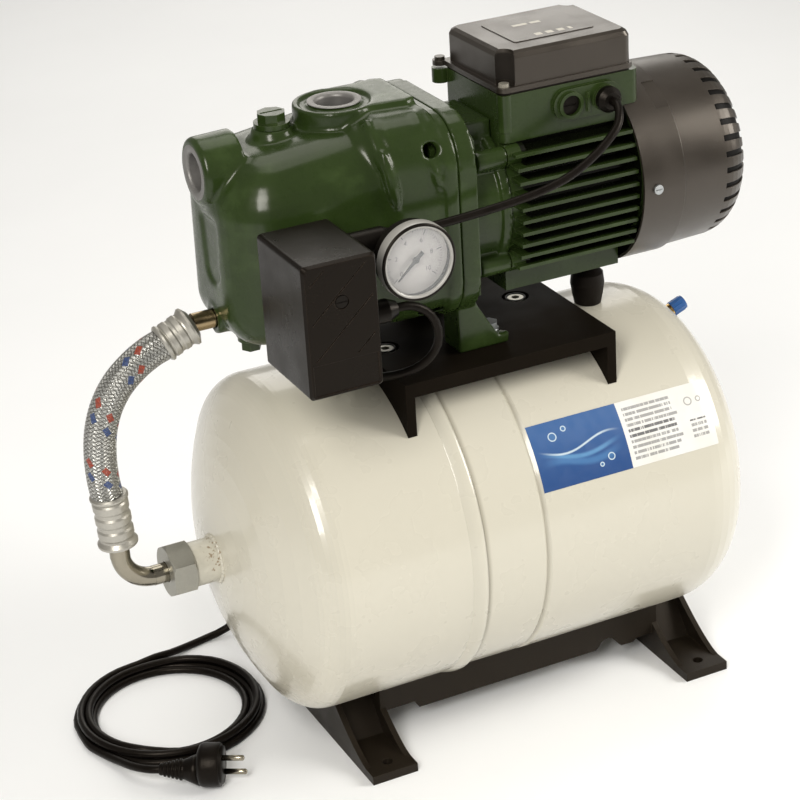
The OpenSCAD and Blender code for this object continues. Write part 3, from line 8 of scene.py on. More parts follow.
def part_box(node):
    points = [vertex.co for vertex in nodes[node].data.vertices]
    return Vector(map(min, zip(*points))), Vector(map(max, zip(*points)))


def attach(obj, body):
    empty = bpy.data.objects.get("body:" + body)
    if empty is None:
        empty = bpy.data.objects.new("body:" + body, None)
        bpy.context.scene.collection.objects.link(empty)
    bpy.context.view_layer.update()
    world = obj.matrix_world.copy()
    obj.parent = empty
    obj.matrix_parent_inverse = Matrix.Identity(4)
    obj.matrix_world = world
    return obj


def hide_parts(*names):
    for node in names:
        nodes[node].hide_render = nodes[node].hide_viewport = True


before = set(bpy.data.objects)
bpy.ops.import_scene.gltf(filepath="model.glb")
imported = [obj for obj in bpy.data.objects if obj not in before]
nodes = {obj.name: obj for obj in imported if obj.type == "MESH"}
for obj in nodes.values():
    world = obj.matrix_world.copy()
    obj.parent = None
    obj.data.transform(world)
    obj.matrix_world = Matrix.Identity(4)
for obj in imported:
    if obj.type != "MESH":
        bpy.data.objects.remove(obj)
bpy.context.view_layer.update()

# Places on the set and sizes that several pieces share, in metres
SHAFT_HEIGHT = 0.451
TANK_AXIS, TANK_RADIUS = 0.187, 0.143
SUCTION_FACE, DISCHARGE_FACE = (-0.2371, 0, 0.517), (-0.117, 0, 0.5516)
GAUGE = Vector((-0.1135, -0.1206, 0.459))
CORD_RADIUS, HOSE_RADIUS = 0.0035, 0.0129
FULL_TURN = 2 * math.pi
# Turns for a shape that is drawn along X: straight down, and straight to the rear
DOWNWARD = Matrix.Rotation(math.pi / 2, 4, "Y")
REARWARD = Matrix.Rotation(math.pi / 2, 4, "Z")

# Camera, at the photograph's view
AZIMUTH, ELEVATION, ROLL = (math.radians(a) for a in (-24.62, 25.39, -3.63))
TARGET = Vector((-0.07715, 0.0, 0.28429))
DISTANCE = 1.93262
LENS, SENSOR_WIDTH, FAR_CLIP = 105.33, 36.0, 20.0


def place_camera():
    back = Vector((math.sin(AZIMUTH) * math.cos(ELEVATION),
                   -math.cos(AZIMUTH) * math.cos(ELEVATION), math.sin(ELEVATION)))
    level = Vector((math.cos(AZIMUTH), math.sin(AZIMUTH), 0.0))
    upright = back.cross(level)
    right = math.cos(ROLL) * level + math.sin(ROLL) * upright
    up = math.cos(ROLL) * upright - math.sin(ROLL) * level
    lens = bpy.data.cameras.new("camera")
    lens.lens, lens.sensor_width, lens.clip_end = LENS, SENSOR_WIDTH, FAR_CLIP
    camera = bpy.data.objects.new("camera", lens)
    turn = Matrix((right, up, back)).transposed().to_4x4()
    camera.matrix_world = Matrix.Translation(TARGET + back * DISTANCE) @ turn
    bpy.context.scene.collection.objects.link(camera)
    bpy.context.scene.camera = camera


place_camera()


def add_piece(name, data):
    piece = bpy.data.objects.new(name, data)
    bpy.context.scene.collection.objects.link(piece)
    return piece


def set_smooth(mesh, smooth=True):
    for face in mesh.polygons:
        face.use_smooth = smooth


def piece_from(bm, name, smooth=True):
    mesh = bpy.data.meshes.new(name)
    bm.to_mesh(mesh)
    bm.free()
    set_smooth(mesh, smooth)
    return add_piece(name, mesh)


# Cords, on the routes that their solids follow
def smooth_route(points, steps):
    """A smooth curve through the points, with so many steps from each to the next"""
    route = [Vector(p) for p in points]
    last = len(route) - 1
    line = []
    for i in range(last):
        a, b, c, d = route[max(i - 1, 0)], route[i], route[i + 1], route[min(i + 2, last)]
        for k in range(steps + (i == last - 1)):
            t = k / steps
            line.append(0.5 * (2 * b + (c - a) * t + (2 * a - 5 * b + 4 * c - d) * t * t
                               + (3 * b - a - 3 * c + d) * t ** 3))
    return line


LEAD_EXIT = (-0.120, -0.0965, 0.412)
LEAD_FRONT = [
    LEAD_EXIT, (-0.111, -0.0966, 0.4117), (-0.1015, -0.0972, 0.4086), (-0.0918, -0.0982, 0.4005),
    (-0.0864, -0.0988, 0.3875), (-0.0872, -0.0980, 0.3740), (-0.0940, -0.0952, 0.3625),
    (-0.1045, -0.0895, 0.3540), (-0.1165, -0.0785, 0.3475), (-0.1255, -0.0615, 0.3420),
    (-0.1295, -0.0400, 0.3372), (-0.130, -0.0120, 0.3344), (-0.130, 0.010, 0.3344)]
# Behind the tank: the place along it, the angle from its top and the gap to the shell
LEAD_ROUND = [(-0.131, 20, 0.0053), (-0.133, 33, 0.0046), (-0.136, 45, 0.0045),
              (-0.139, 57, 0.0047), (-0.142, 70, 0.0052), (-0.146, 85, 0.0078)]
LEAD_DOWN = [(-0.150, 0.156, 0.158), (-0.154, 0.160, 0.115), (-0.158, 0.1645, 0.076),
             (-0.1625, 0.169, 0.048), (-0.1705, 0.1735, 0.0245), (-0.1855, 0.1775, 0.0085),
             (-0.2055, 0.1785, 0.0038), (-0.226, 0.174, 0.0039), (-0.246, 0.166, 0.0072),
             (-0.262, 0.1615, 0.0102)]
# The coil: its middle, the angle from point to point, the radii of its lanes and two heights
COIL_CENTRE, COIL_STEP = (-0.279, 0.082), 15.0
LANES = (0.0664, 0.0734, 0.0804)
ON_FLOOR, ON_TOP = 0.0036, 0.0097
# Stations of the coil: angle, distance from its centre and height
COIL_STATIONS = [
    (90, 0.0769, ON_TOP), (400, 0.0769, ON_TOP), (450, 0.0699, ON_TOP), (588, 0.0699, ON_TOP),
    (600, 0.0680, 0.0072), (616, LANES[0], ON_FLOOR), (924, LANES[0], ON_FLOOR),
    (952, LANES[1], ON_FLOOR), (1284, LANES[1], ON_FLOOR), (1312, LANES[2], ON_FLOOR),
    (1622, LANES[2], ON_FLOOR)]
LEAD_TAIL = [(-0.3590, 0.070, 0.0036), (-0.3568, 0.058, 0.0040), (-0.3530, 0.046, 0.0048),
             (-0.3490, 0.034, 0.0060), (-0.3450, 0.022, 0.0077), (-0.3405, 0.008, 0.0102),
             (-0.3335, -0.0050, 0.0127), (-0.3277, -0.0112, 0.0138), (-0.3223, -0.0146, 0.0140)]


def round_the_tank():
    line = []
    for x, angle, gap in LEAD_ROUND:
        turn = math.radians(angle)
        out = TANK_RADIUS + gap
        line.append((x, out * math.sin(turn), TANK_AXIS + out * math.cos(turn)))
    return line


def coil_turns():
    """The coil from station to station, easing from one lane or height into the next"""
    line = []
    for (a0, r0, z0), (a1, r1, z1) in zip(COIL_STATIONS, COIL_STATIONS[1:]):
        parts = round((a1 - a0) / COIL_STEP)
        for k in range(parts):
            t = k / parts
            ease = t * t * (3 - 2 * t)
            angle = math.radians(a0 + (a1 - a0) * t)
            out = r0 + (r1 - r0) * ease
            line.append((COIL_CENTRE[0] + out * math.cos(angle),
                         COIL_CENTRE[1] + out * math.sin(angle), z0 + (z1 - z0) * ease))
    return line


MOTOR_CABLE = [
    (0.0935, -0.064, 0.526), (0.0935, -0.070, 0.5255), (0.091, -0.078, 0.521),
    (0.084, -0.086, 0.513), (0.070, -0.091, 0.503), (0.054, -0.094, 0.494),
    (0.036, -0.096, 0.486), (0.016, -0.097, 0.4805), (-0.006, -0.0975, 0.477),
    (-0.030, -0.0975, 0.4745), (-0.056, -0.097, 0.4726), (-0.082, -0.0966, 0.4713),
    (-0.100, -0.0965, 0.471), (-0.120, -0.0965, 0.471)]


def make_cord(name, line):
    path = bpy.data.curves.new(name, "CURVE")
    path.dimensions = "3D"
    path.bevel_depth = CORD_RADIUS
    path.bevel_resolution = 3
    path.use_fill_caps = True
    strand = path.splines.new("POLY")
    strand.points.add(len(line) - 1)
    for point, place in zip(strand.points, line):
        point.co = (*place, 1.0)
    strand.use_smooth = True
    return add_piece(name, path)


lead_route = LEAD_FRONT + round_the_tank() + LEAD_DOWN + coil_turns() + LEAD_TAIL
lead = make_cord("lead_cord", smooth_route(lead_route, steps=2))
motor_cord = make_cord("motor_cord", smooth_route(MOTOR_CABLE, steps=3))


# Shapes, whose points are merged when they are as near as this
MERGE_GAP = 1e-6


def closed(bm):
    bmesh.ops.remove_doubles(bm, verts=bm.verts, dist=MERGE_GAP)
    bmesh.ops.recalc_face_normals(bm, faces=bm.faces)
    return bm


def turned(profile, place, steps):
    """A profile of (along, radius) turned about X, then put in its place"""
    bm = bmesh.new()
    line = [bm.verts.new((x, 0.0, r)) for x, r in profile]
    edges = [bm.edges.new(pair) for pair in zip(line, line[1:])]
    bmesh.ops.spin(bm, geom=line + edges, cent=(0, 0, 0), axis=(1, 0, 0), angle=FULL_TURN,
                   steps=steps, use_merge=True, use_duplicate=False)
    closed(bm)
    bmesh.ops.transform(bm, matrix=place, verts=bm.verts)
    return bm


def block(bm, low, high, turn=None):
    """A box between two corners, added to a mesh"""
    low, high = Vector(low), Vector(high)
    place = Matrix.Translation((low + high) / 2) @ Matrix.Diagonal((*(high - low), 1.0))
    made = bmesh.ops.create_cube(bm, size=1.0, matrix=place)["verts"]
    if turn is not None:
        bmesh.ops.transform(bm, matrix=turn, verts=made)


def join(bm, other):
    """Adds another mesh to this one"""
    spare = bpy.data.meshes.new("spare")
    other.to_mesh(spare)
    other.free()
    bm.from_mesh(spare)
    bpy.data.meshes.remove(spare)


# Finishes
def tint(red, green, blue):
    """A colour as a screen shows it, 0 to 255, made linear by the sRGB curve"""
    line = []
    for value in (red, green, blue):
        v = value / 255
        line.append(v / 12.92 if v <= 0.04045 else ((v + 0.055) / 1.055) ** 2.4)
    return (*line, 1.0)


class Wire:
    """A node's output that can be used in sums"""

    def __init__(self, finish, socket):
        self.finish, self.socket = finish, socket

    def sum_with(self, kind, other):
        return self.finish.math(kind, self, other)

    def __add__(self, other):
        return self.sum_with("ADD", other)

    __radd__ = __add__

    def __mul__(self, other):
        return self.sum_with("MULTIPLY", other)

    __rmul__ = __mul__

    def __sub__(self, other):
        return self.sum_with("SUBTRACT", other)

    def __rsub__(self, other):
        return self.finish.math("SUBTRACT", other, self)

    def __truediv__(self, other):
        return self.sum_with("DIVIDE", other)

    def __lt__(self, other):
        return self.sum_with("LESS_THAN", other)

    def __gt__(self, other):
        return self.sum_with("GREATER_THAN", other)

    def __mod__(self, other):
        return self.sum_with("FLOORED_MODULO", other)

    def floor(self):
        return self.finish.math("FLOOR", self)


# Where an edge starts to turn paler, from wear and a painted highlight, and where it is palest,
# by how far it bends away
RUB_AND_SHEEN_START, RUB_AND_SHEEN_FULL = 0.03, 0.16


class Finish:
    """A surface finish made of nodes"""

    def __init__(self, name, colour, rough, metal=0.0, coat=0.0, coat_rough=0.1, fixed=None):
        self.material = bpy.data.materials.new(name)
        self.material.use_nodes = True
        self.tree = self.material.node_tree
        self.shader = self.tree.nodes["Principled BSDF"]
        self.set("Base Color", colour)
        self.set("Roughness", rough)
        self.set("Metallic", metal)
        self.set("Coat Weight", coat)
        self.set("Coat Roughness", coat_rough)
        for socket, value in (fixed or {}).items():
            self.set(socket, value)

    def set(self, socket, value):
        self.feed(self.shader.inputs[socket], value)

    def feed(self, socket, value):
        if isinstance(value, Wire):
            self.tree.links.new(value.socket, socket)
        else:
            socket.default_value = value

    def add(self, kind, settings=None, sockets=None, out=0):
        """One node: its settings first, then the values or wires of its sockets"""
        node = self.tree.nodes.new("ShaderNode" + kind)
        for name, value in (settings or {}).items():
            if name == "stops":
                ramp = node.color_ramp
                while len(ramp.elements) < len(value):
                    ramp.elements.new(0.5)
                for element, (position, colour) in zip(ramp.elements, value):
                    element.position = position
                    element.color = colour
            else:
                setattr(node, name, value)
        for name, value in (sockets or {}).items():
            self.feed(node.inputs[name], value)
        return Wire(self, node.outputs[out])

    def math(self, kind, *values):
        return self.add("Math", {"operation": kind}, dict(enumerate(values)))

    def place(self):
        return self.add("TexCoord", out="Object")

    def uv(self):
        return self.add("TexCoord", out="UV")

    def parts(self, vector):
        split = self.add("SeparateXYZ", sockets={0: vector}).socket.node
        return [Wire(self, split.outputs[i]) for i in range(3)]

    def noise(self, scale, detail=3.0, rough=0.55, vector=None):
        return self.add("TexNoise", sockets={"Vector": vector or self.place(), "Scale": scale,
                                             "Detail": detail, "Roughness": rough})

    def magnitude(self, value):
        return self.math("ABSOLUTE", value)

    def distance(self, across, up):
        return self.math("SQRT", across * across + up * up)

    def span(self, value, low, high, start=0.0, end=1.0):
        """Runs smoothly from start to end while the value goes from low to high"""
        return self.add("MapRange", {"clamp": True, "interpolation_type": "SMOOTHSTEP"},
                        {0: value, 1: low, 2: high, 3: start, 4: end})

    def ramp(self, value, *stops):
        return self.add("ValToRGB", {"stops": stops}, {0: value})

    def mix(self, amount, first, second):
        """Mixes two colours, which the Mix node takes in its sockets 6 and 7"""
        return self.add("Mix", {"data_type": "RGBA"}, {0: amount, 6: first, 7: second}, out=2)

    def eased(self, radius):
        """The surface's direction with its sharp edges run round"""
        return self.add("Bevel", {"samples": 4}, {"Radius": radius})

    def rubbed_and_lit(self, eased):
        """Where an edge is handled or catches the light, in patches"""
        face = self.add("NewGeometry", out="Normal")
        same = self.add("VectorMath", {"operation": "DOT_PRODUCT"}, {0: eased, 1: face}, out=1)
        patches = self.span(self.noise(70.0), 0.35, 0.6, 0.35, 1.0)
        return self.span(1 - same, RUB_AND_SHEEN_START, RUB_AND_SHEEN_FULL) * patches

    def bump(self, height, depth, strength=1.0, under=None):
        sockets = {"Height": height, "Distance": depth, "Strength": strength}
        if under is not None:
            sockets["Normal"] = under
        return self.add("Bump", {}, sockets)


def shade(colour, factor):
    return (*(min(1.0, c * factor) for c in colour[:3]), 1.0)


def speckled(name, colour, rough, spread, grain, depth, metal=0.0, coat=0.0, coat_rough=0.1,
             soft=40.0, edge=0.0, rub_and_sheen=2.2, level=0.5, gloss=(1.0, 1.0, 1.0, 1.0)):
    """A finish with slow colour change, a fine grain, uneven gloss and, if asked, eased edges

    Spread is the share by which the colour changes, grain and soft are the fineness of the quick
    and the slow change, depth is the grain's, and rub_and_sheen is how much paler an edge is,
    from wear and from a painted highlight.
    """
    f = Finish(name, colour, rough, metal, coat, coat_rough,
               {"Specular IOR Level": level, "Specular Tint": gloss})
    slow, fine = f.noise(soft, 4.0), f.noise(grain, 3.0)
    tone = f.ramp(slow * 0.75 + fine * 0.25, (0.3, shade(colour, 1 - spread)),
                  (0.7, shade(colour, 1 + spread)))
    eased = None
    if edge > 0:
        eased = f.eased(edge)
        # edges paler: wear, and a painted highlight where they catch the light
        tone = f.mix(f.rubbed_and_lit(eased) * 0.7, tone, shade(colour, rub_and_sheen))
    f.set("Base Color", tone)
    f.set("Roughness", f.span(slow, 0.3, 0.7, rough - 0.06, rough + 0.07))
    f.set("Normal", f.bump(fine, depth, under=eased))
    return f


warm_gloss = (1.0, 0.88, 0.76, 1.0)
cream = tint(197, 193, 179)
green = tint(39, 53, 22)
warm_black = tint(29, 24, 18)

# Painted shadow beside the tank's seam step and in its groove: the place along it, the width and
# the strength
SEAM_SHADOWS = ((-0.0740, 0.0042, 0.42), (-0.0200, 0.0026, 0.34))
# The heights between which the painted shade low on the tank fades out
LOW_SHADE_FULL, LOW_SHADE_END = 0.05, 0.17


def cream_enamel():
    """The tank's paint, with painted shade low down and painted shadow along its seams"""
    f = Finish("cream_enamel", cream, 0.3, coat=0.5, coat_rough=0.1)
    x, _, z = f.parts(f.place())
    # painted shade: the tank darker towards the floor
    low = f.span(z, LOW_SHADE_FULL, LOW_SHADE_END, 1.0, 0.0)
    tone = f.mix(low * 0.22, cream, tint(160, 146, 118))
    # painted shadow beside the seam's step and in the groove
    seam_shadow = 0.0
    for place, width, strength in SEAM_SHADOWS:
        seam_shadow = seam_shadow + f.span(f.magnitude(x - place), 0.0003, width, strength, 0.0)
    f.set("Base Color", f.mix(f.math("MINIMUM", seam_shadow, 0.7), tone, tint(112, 104, 84)))
    f.set("Roughness", f.span(f.noise(24.0, 3.0), 0.35, 0.7, 0.27, 0.29))
    return f


COVER_COAT = 0.15
# The lid's screw at the front, next to the pump: its place, its head and its sunk seat
LID_SCREW = (0.008, -0.044)
SEAT_RADIUS, HEAD_RADIUS, HEAD_TOP = 0.0091, 0.0046, 0.5523
# The heights between which the seat goes from light to dark
SEAT_LIGHT, SEAT_DARK = 0.5755, 0.5730


def moulded_cover(name):
    return speckled(name, tint(36, 32, 28), 0.34, 0.18, 1700.0, 0.00009, coat=COVER_COAT,
                    coat_rough=0.24, soft=24.0, edge=0.0007, rub_and_sheen=2.8, level=0.6, gloss=warm_gloss)


def lid_finish():
    """The lid's plastic, with the seat of one screw in shadow and the screw's head bright"""
    f = moulded_cover("lid_plastic")
    x, y, z = f.parts(f.place())
    far = f.distance(x - LID_SCREW[0], y - LID_SCREW[1])
    seat = (far < SEAT_RADIUS) * f.span(z, SEAT_LIGHT, SEAT_DARK) * (z > HEAD_TOP)
    head = (far < HEAD_RADIUS) * (z < HEAD_TOP)
    tone, dull = (Wire(f, f.shader.inputs[socket].links[0].from_socket)
                  for socket in ("Base Color", "Roughness"))
    tone = f.mix(seat * 0.96, tone, tint(4, 3, 3))
    f.set("Base Color", f.mix(head, tone, tint(136, 132, 122)))
    f.set("Roughness", dull + seat * 0.6)
    f.set("Coat Weight", COVER_COAT - seat * COVER_COAT)
    return f


# The places along the connection between which the specks fade out
SPECKS_FULL, SPECKS_END = -0.258, -0.268


def weld_enamel():
    """The tank's paint over a weld, with brown specks of burnt flux next to the tank"""
    f = Finish("weld_enamel", cream, 0.38, coat=0.3, coat_rough=0.16)
    speck, wave = f.noise(260.0, 2.0), f.noise(120.0, 3.0)
    x = f.parts(f.place())[0]
    spots = f.span(speck, 0.58, 0.64) * f.span(x, SPECKS_END, SPECKS_FULL)
    tone = f.ramp(wave, (0.3, shade(cream, 0.86)), (0.7, shade(cream, 1.0)))
    f.set("Base Color", f.mix(spots * 0.8, tone, tint(122, 96, 62)))
    f.set("Roughness", f.span(wave, 0.3, 0.7, 0.3, 0.46))
    f.set("Normal", f.bump(wave * 0.7 + speck * 0.3, 0.0005, 0.6))
    return f


# The motor's fins, with painted shade between them: their start and end along it, and their reach
# above and below the shaft
FINS_START, FINS_END, FINS_REACH = 0.014, 0.121, 0.0535
# The arch of their tips: how far out it stands at the shaft's height, and its bend
TIPS_OUT, TIPS_BEND = 0.074, 4.2
# The pump's pocket at the flange, dark with painted shade: its middle, and its reach along the
# pump and up it
POCKET_X, POCKET_Z, POCKET_LONG, POCKET_HIGH = -0.071, 0.521, 0.0075, 0.0105
# The pump's side there: how far out it stands, how much it leans in, and from which height
SIDE_OUT, SIDE_LEAN, LEAN_START = 0.0735, 0.45, 0.515


# Painted shade between the motor's fins, darker the deeper the gap
def shade_between_fins(f):
    x, y, z = f.parts(f.place())
    up = z - SHAFT_HEIGHT
    depth = TIPS_OUT - up * up * TIPS_BEND - f.magnitude(y)
    return (f.span(depth, 0.0012, 0.0065) * (x > FINS_START) * (x < FINS_END)
            * (f.magnitude(up) < FINS_REACH) * 0.94)


# Painted shade inside the pump's pocket, darker the deeper it lies
def shade_inside_pocket(f):
    x, y, z = f.parts(f.place())
    depth = SIDE_OUT - (z - LEAN_START) * SIDE_LEAN - f.magnitude(y)
    near = (f.magnitude(x - POCKET_X) < POCKET_LONG) * (f.magnitude(z - POCKET_Z) < POCKET_HIGH)
    return near * f.span(depth, 0.0016, 0.0045) * 0.9


def green_enamel(name, edge=0.0, shadow=None, dark=None):
    """The pump's paint, with edges paled by wear and a painted highlight, and painted shade in
    one place, if asked
    """
    f = Finish(name, green, 0.3, coat=0.5, coat_rough=0.2,
               fixed={"Specular IOR Level": 0.06, "Specular Tint": warm_gloss})
    sand, pool, thin = f.noise(150.0, 3.0, 0.5), f.noise(38.0, 3.0), f.noise(14.0, 2.0)
    tone = f.ramp(pool * 0.6 + thin * 0.4, (0.3, shade(green, 0.78)), (0.55, green),
                  (0.78, tint(57, 73, 38)))
    eased = None
    if edge > 0:
        eased = f.eased(edge)
        # edges paler: wear, and a painted highlight where they catch the light
        tone = f.mix(f.rubbed_and_lit(eased) * 0.6, tone, tint(88, 100, 64))
    if shadow is not None:
        tone = f.mix(shadow(f), tone, dark)
    f.set("Base Color", tone)
    f.set("Roughness", f.span(sand, 0.3, 0.75, 0.24, 0.4))
    f.set("Normal", f.bump(sand * 0.6 + pool * 0.4, 0.0004, 0.35, under=eased))
    return f


# The braid: its strands, the wires in each, and the step from strand to strand along the hose
STRANDS, WIRES, STRAND_PITCH = 14.0, 5, 0.0031
# Its coloured marks: their rows round the hose, and the step from mark to mark in a row
MARK_ROWS, MARK_PITCH = 6.0, 0.0455
# Where the red and the blue marks start, and in which row
MARK_STARTS, FIRST_ROW = (0.0175, 0.0290), 4.0
# Half a mark's width and length, and its slant
MARK_WIDE, MARK_LONG, MARK_SLANT = 0.0024, 0.0035, math.radians(38)


def braid_finish():
    """Crossed flat strands of wire, with painted shade in the gaps between strands and wires,
    and red and blue tracers that show as short marks
    """
    f = Finish("hose_braid", tint(190, 190, 188), 0.28, metal=0.9)
    u, v, _ = f.parts(f.uv())
    a, b = u * STRANDS + v / STRAND_PITCH, u * STRANDS - v / STRAND_PITCH
    over = ((a.floor() + b.floor()) % 2.0) > 0.5
    across = a % 1.0 + over * (b % 1.0 - a % 1.0)
    arch = f.math("SINE", across * math.pi)
    wires = f.math("SINE", across * (FULL_TURN * WIRES))
    height = f.math("POWER", arch, 0.6) + wires * 0.14
    # painted shade: dark in the gaps between strands and wires, pale on their crests
    tone = f.ramp(height, (0.0, tint(44, 42, 38)), (0.5, tint(128, 127, 122)),
                  (1.0, tint(206, 206, 202)))
    row = (u * MARK_ROWS + 0.5).floor()
    side = (u - row / MARK_ROWS) * (FULL_TURN * HOSE_RADIUS)
    slant_cos, slant_sin = math.cos(MARK_SLANT), math.sin(MARK_SLANT)
    masks = []
    for start in MARK_STARTS:
        step = (FIRST_ROW - row) * (MARK_PITCH / MARK_ROWS)
        along = ((v - start - step + MARK_PITCH / 2) % MARK_PITCH) - MARK_PITCH / 2
        wide = f.magnitude(side * slant_cos + along * slant_sin)
        long = f.magnitude(along * slant_cos - side * slant_sin)
        masks.append((wide < MARK_WIDE) * (long < MARK_LONG) * f.span(arch, 0.1, 0.45, 0.5, 1.0))
    red, blue = masks
    tone = f.mix(red, tone, tint(158, 70, 52))
    tone = f.mix(blue, tone, tint(62, 80, 124))
    f.set("Base Color", tone)
    f.set("Metallic", 0.9 - (red + blue) * 0.85)
    f.set("Roughness", f.span(height, 0.2, 1.0, 0.46, 0.22))
    f.set("Normal", f.bump(height, 0.0008, 0.9))
    return f


def clear_glass():
    f = Finish("gauge_glass", (0.96, 0.98, 1.0, 1.0), 0.05, fixed={"Alpha": 0.1})
    f.set("Roughness", f.span(f.noise(60.0, 3.0), 0.4, 0.7, 0.03, 0.08))
    return f


finishes = {
    "cream": cream_enamel(),
    "weld": weld_enamel(),
    "green": green_enamel("green_enamel", 0.0009),
    "green_finned": green_enamel("green_finned", 0.0006, shade_between_fins, tint(7, 7, 4)),
    "green_casting": green_enamel("green_casting", 0.0, shade_inside_pocket, tint(10, 11, 6)),
    "machined": speckled("machined_iron", tint(121, 119, 117), 0.46, 0.12, 420.0, 0.00008,
                         metal=0.45, soft=60.0),
    "foot_plastic": speckled("foot_plastic", warm_black, 0.42, 0.16, 1400.0, 0.00012, soft=28.0,
                             edge=0.0008, rub_and_sheen=3.2, level=0.2, gloss=warm_gloss),
    # a darker copy of the foot plastic: painted shade on the platform's top, which gets little
    # light
    "shaded_platform_plastic": speckled("shaded_platform_plastic", shade(warm_black, 0.6), 0.6, 0.2, 1400.0,
                                 0.00012, soft=28.0, edge=0.0008, rub_and_sheen=2.6, level=0.03,
                                 gloss=warm_gloss),
    "cover_plastic": moulded_cover("cover_plastic"),
    "lid_plastic": lid_finish(),
    "switch_plastic": speckled("switch_plastic", tint(13, 9, 6), 0.3, 0.14, 1500.0, 0.00008,
                               soft=30.0, edge=0.0007, rub_and_sheen=11.0, level=0.15, gloss=warm_gloss),
    "gauge_plastic": speckled("gauge_plastic", tint(15, 13, 11), 0.34, 0.12, 1200.0, 0.00008,
                              edge=0.0004, level=0.14, gloss=warm_gloss),
    "cord_rubber": speckled("cord_rubber", tint(13, 10, 8), 0.34, 0.16, 900.0, 0.00015, soft=60.0,
                            level=0.13, gloss=warm_gloss),
    "black_rubber": speckled("black_rubber", tint(16, 13, 11), 0.5, 0.15, 800.0, 0.0002,
                             level=0.16, gloss=warm_gloss),
    # painted shade: near black, for pieces that stand where there is only shade
    "painted_recess_shade": speckled("painted_recess_shade", tint(10, 8, 7), 0.5, 0.15, 900.0, 0.0001, level=0.1),
    "zinc": speckled("zinc_plate", tint(176, 179, 180), 0.36, 0.1, 600.0, 0.00006, metal=0.9,
                     soft=70.0, edge=0.0005, rub_and_sheen=1.2),
    "nut_zinc": speckled("nut_zinc", tint(154, 152, 143), 0.38, 0.1, 500.0, 0.00008, metal=0.75,
                         soft=50.0, edge=0.0006, rub_and_sheen=1.4),
    "ferrule_steel": speckled("ferrule_steel", tint(176, 173, 165), 0.4, 0.1, 500.0, 0.00008,
                              metal=0.8, soft=60.0, edge=0.0004, rub_and_sheen=1.1),
    "nickel": speckled("nickel_tube", tint(150, 144, 130), 0.18, 0.1, 300.0, 0.00004, metal=1.0,
                       soft=50.0),
    "rod_brass": speckled("rod_brass", tint(148, 130, 100), 0.2, 0.12, 300.0, 0.00004, metal=1.0,
                          soft=50.0),
    "brass": speckled("brass_turned", tint(196, 164, 106), 0.3, 0.1, 500.0, 0.00005, metal=1.0),
    "steel": speckled("ground_steel", tint(172, 172, 170), 0.34, 0.08, 700.0, 0.00005, metal=1.0),
    "lamination": speckled("core_lamination", tint(120, 120, 118), 0.5, 0.1, 900.0, 0.0001,
                           metal=0.8),
    "copper": speckled("copper_winding", tint(176, 98, 52), 0.34, 0.15, 700.0, 0.0004, metal=0.8),
    "pale_plastic": speckled("pale_plastic", tint(214, 208, 190), 0.42, 0.05, 900.0, 0.00006),
    "ceramic": speckled("seal_ceramic", tint(216, 214, 206), 0.2, 0.03, 900.0, 0.00002),
    "carbon": speckled("seal_carbon", tint(40, 40, 42), 0.4, 0.1, 900.0, 0.00004),
    "liner": speckled("liner_plastic", tint(220, 220, 214), 0.45, 0.04, 500.0, 0.0001),
    "cap_blue": speckled("cap_blue", tint(40, 84, 142), 0.34, 0.08, 900.0, 0.00006, edge=0.0004,
                         rub_and_sheen=1.4),
    "lid_print": speckled("lid_print", tint(188, 184, 174), 0.5, 0.1, 900.0, 0.00001),
    "dial": speckled("dial_white", tint(172, 168, 166), 0.4, 0.1, 800.0, 0.00001, soft=90.0),
    "ink": speckled("dial_ink", tint(92, 92, 96), 0.5, 0.1, 900.0, 0.00001),
    "pointer_black": speckled("pointer_black", tint(24, 24, 26), 0.4, 0.1, 900.0, 0.00001),
    "bezel": speckled("gauge_bezel", tint(166, 164, 160), 0.44, 0.06, 500.0, 0.00004, metal=0.3),
    "chrome": speckled("pin_chrome", tint(150, 143, 128), 0.26, 0.08, 300.0, 0.00002, metal=1.0),
    "braid": braid_finish(),
    "glass": clear_glass(),
}

# Which finish each of the solids wears
worn_by = {
    "cream": ["tank_front_shell", "tank_rear_shell"],
    "weld": ["water_connection"],
    "liner": ["tank_water_liner"],
    "black_rubber": ["tank_diaphragm", "flange_gasket", "lid_gasket", "motor_rubber_foot"],
    "zinc": ["tank_clench_ring", "fan_cover_screws", "bracket_feet_bolts"],
    "nut_zinc": ["union_nut", "platform_screws"],
    "brass": ["air_valve", "impeller_nut", "switch_lever", "switch_nipple"],
    "cap_blue": ["air_valve_cap"],
    "foot_plastic": ["base_cradle"],
    "shaded_platform_plastic": ["pump_platform"],
    "green": ["pump_body", "motor_bracket", "flange_bolts", "priming_plug", "drain_plug",
              "rear_end_shield"],
    "green_finned": ["motor_frame"],
    "pale_plastic": ["ejector_nozzle", "diffuser", "impeller", "capacitor", "terminal_block"],
    "gauge_plastic": ["ejector_venturi", "cable_entry_fittings", "switch_glands", "gauge_case",
                      "cooling_fan", "switch_cover_screw"],
    "ceramic": ["seal_stationary"],
    "carbon": ["seal_rotating"],
    "lamination": ["stator_core", "rotor_core"],
    "copper": ["stator_windings"],
    "steel": ["motor_shaft", "bearings", "switch_base", "switch_mechanism"],
    "cover_plastic": ["fan_cover"],
    "lid_plastic": ["terminal_lid"],
    "switch_plastic": ["switch_cover"],
    "dial": ["gauge_dial"],
    "pointer_black": ["gauge_pointer"],
    "glass": ["gauge_window"],
    "nickel": ["hose_elbow"],
    "rod_brass": ["hose_tail"],
    "ferrule_steel": ["hose_ferrules"],
    "braid": ["hose_braid"],
    "cord_rubber": ["mains_lead", "motor_cable", "mains_plug"],
}


def wear(piece, finish):
    piece.data.materials.clear()
    piece.data.materials.append(finishes[finish].material)


def finish_piece(piece, finish, body="set"):
    wear(piece, finish)
    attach(piece, body)
    return piece


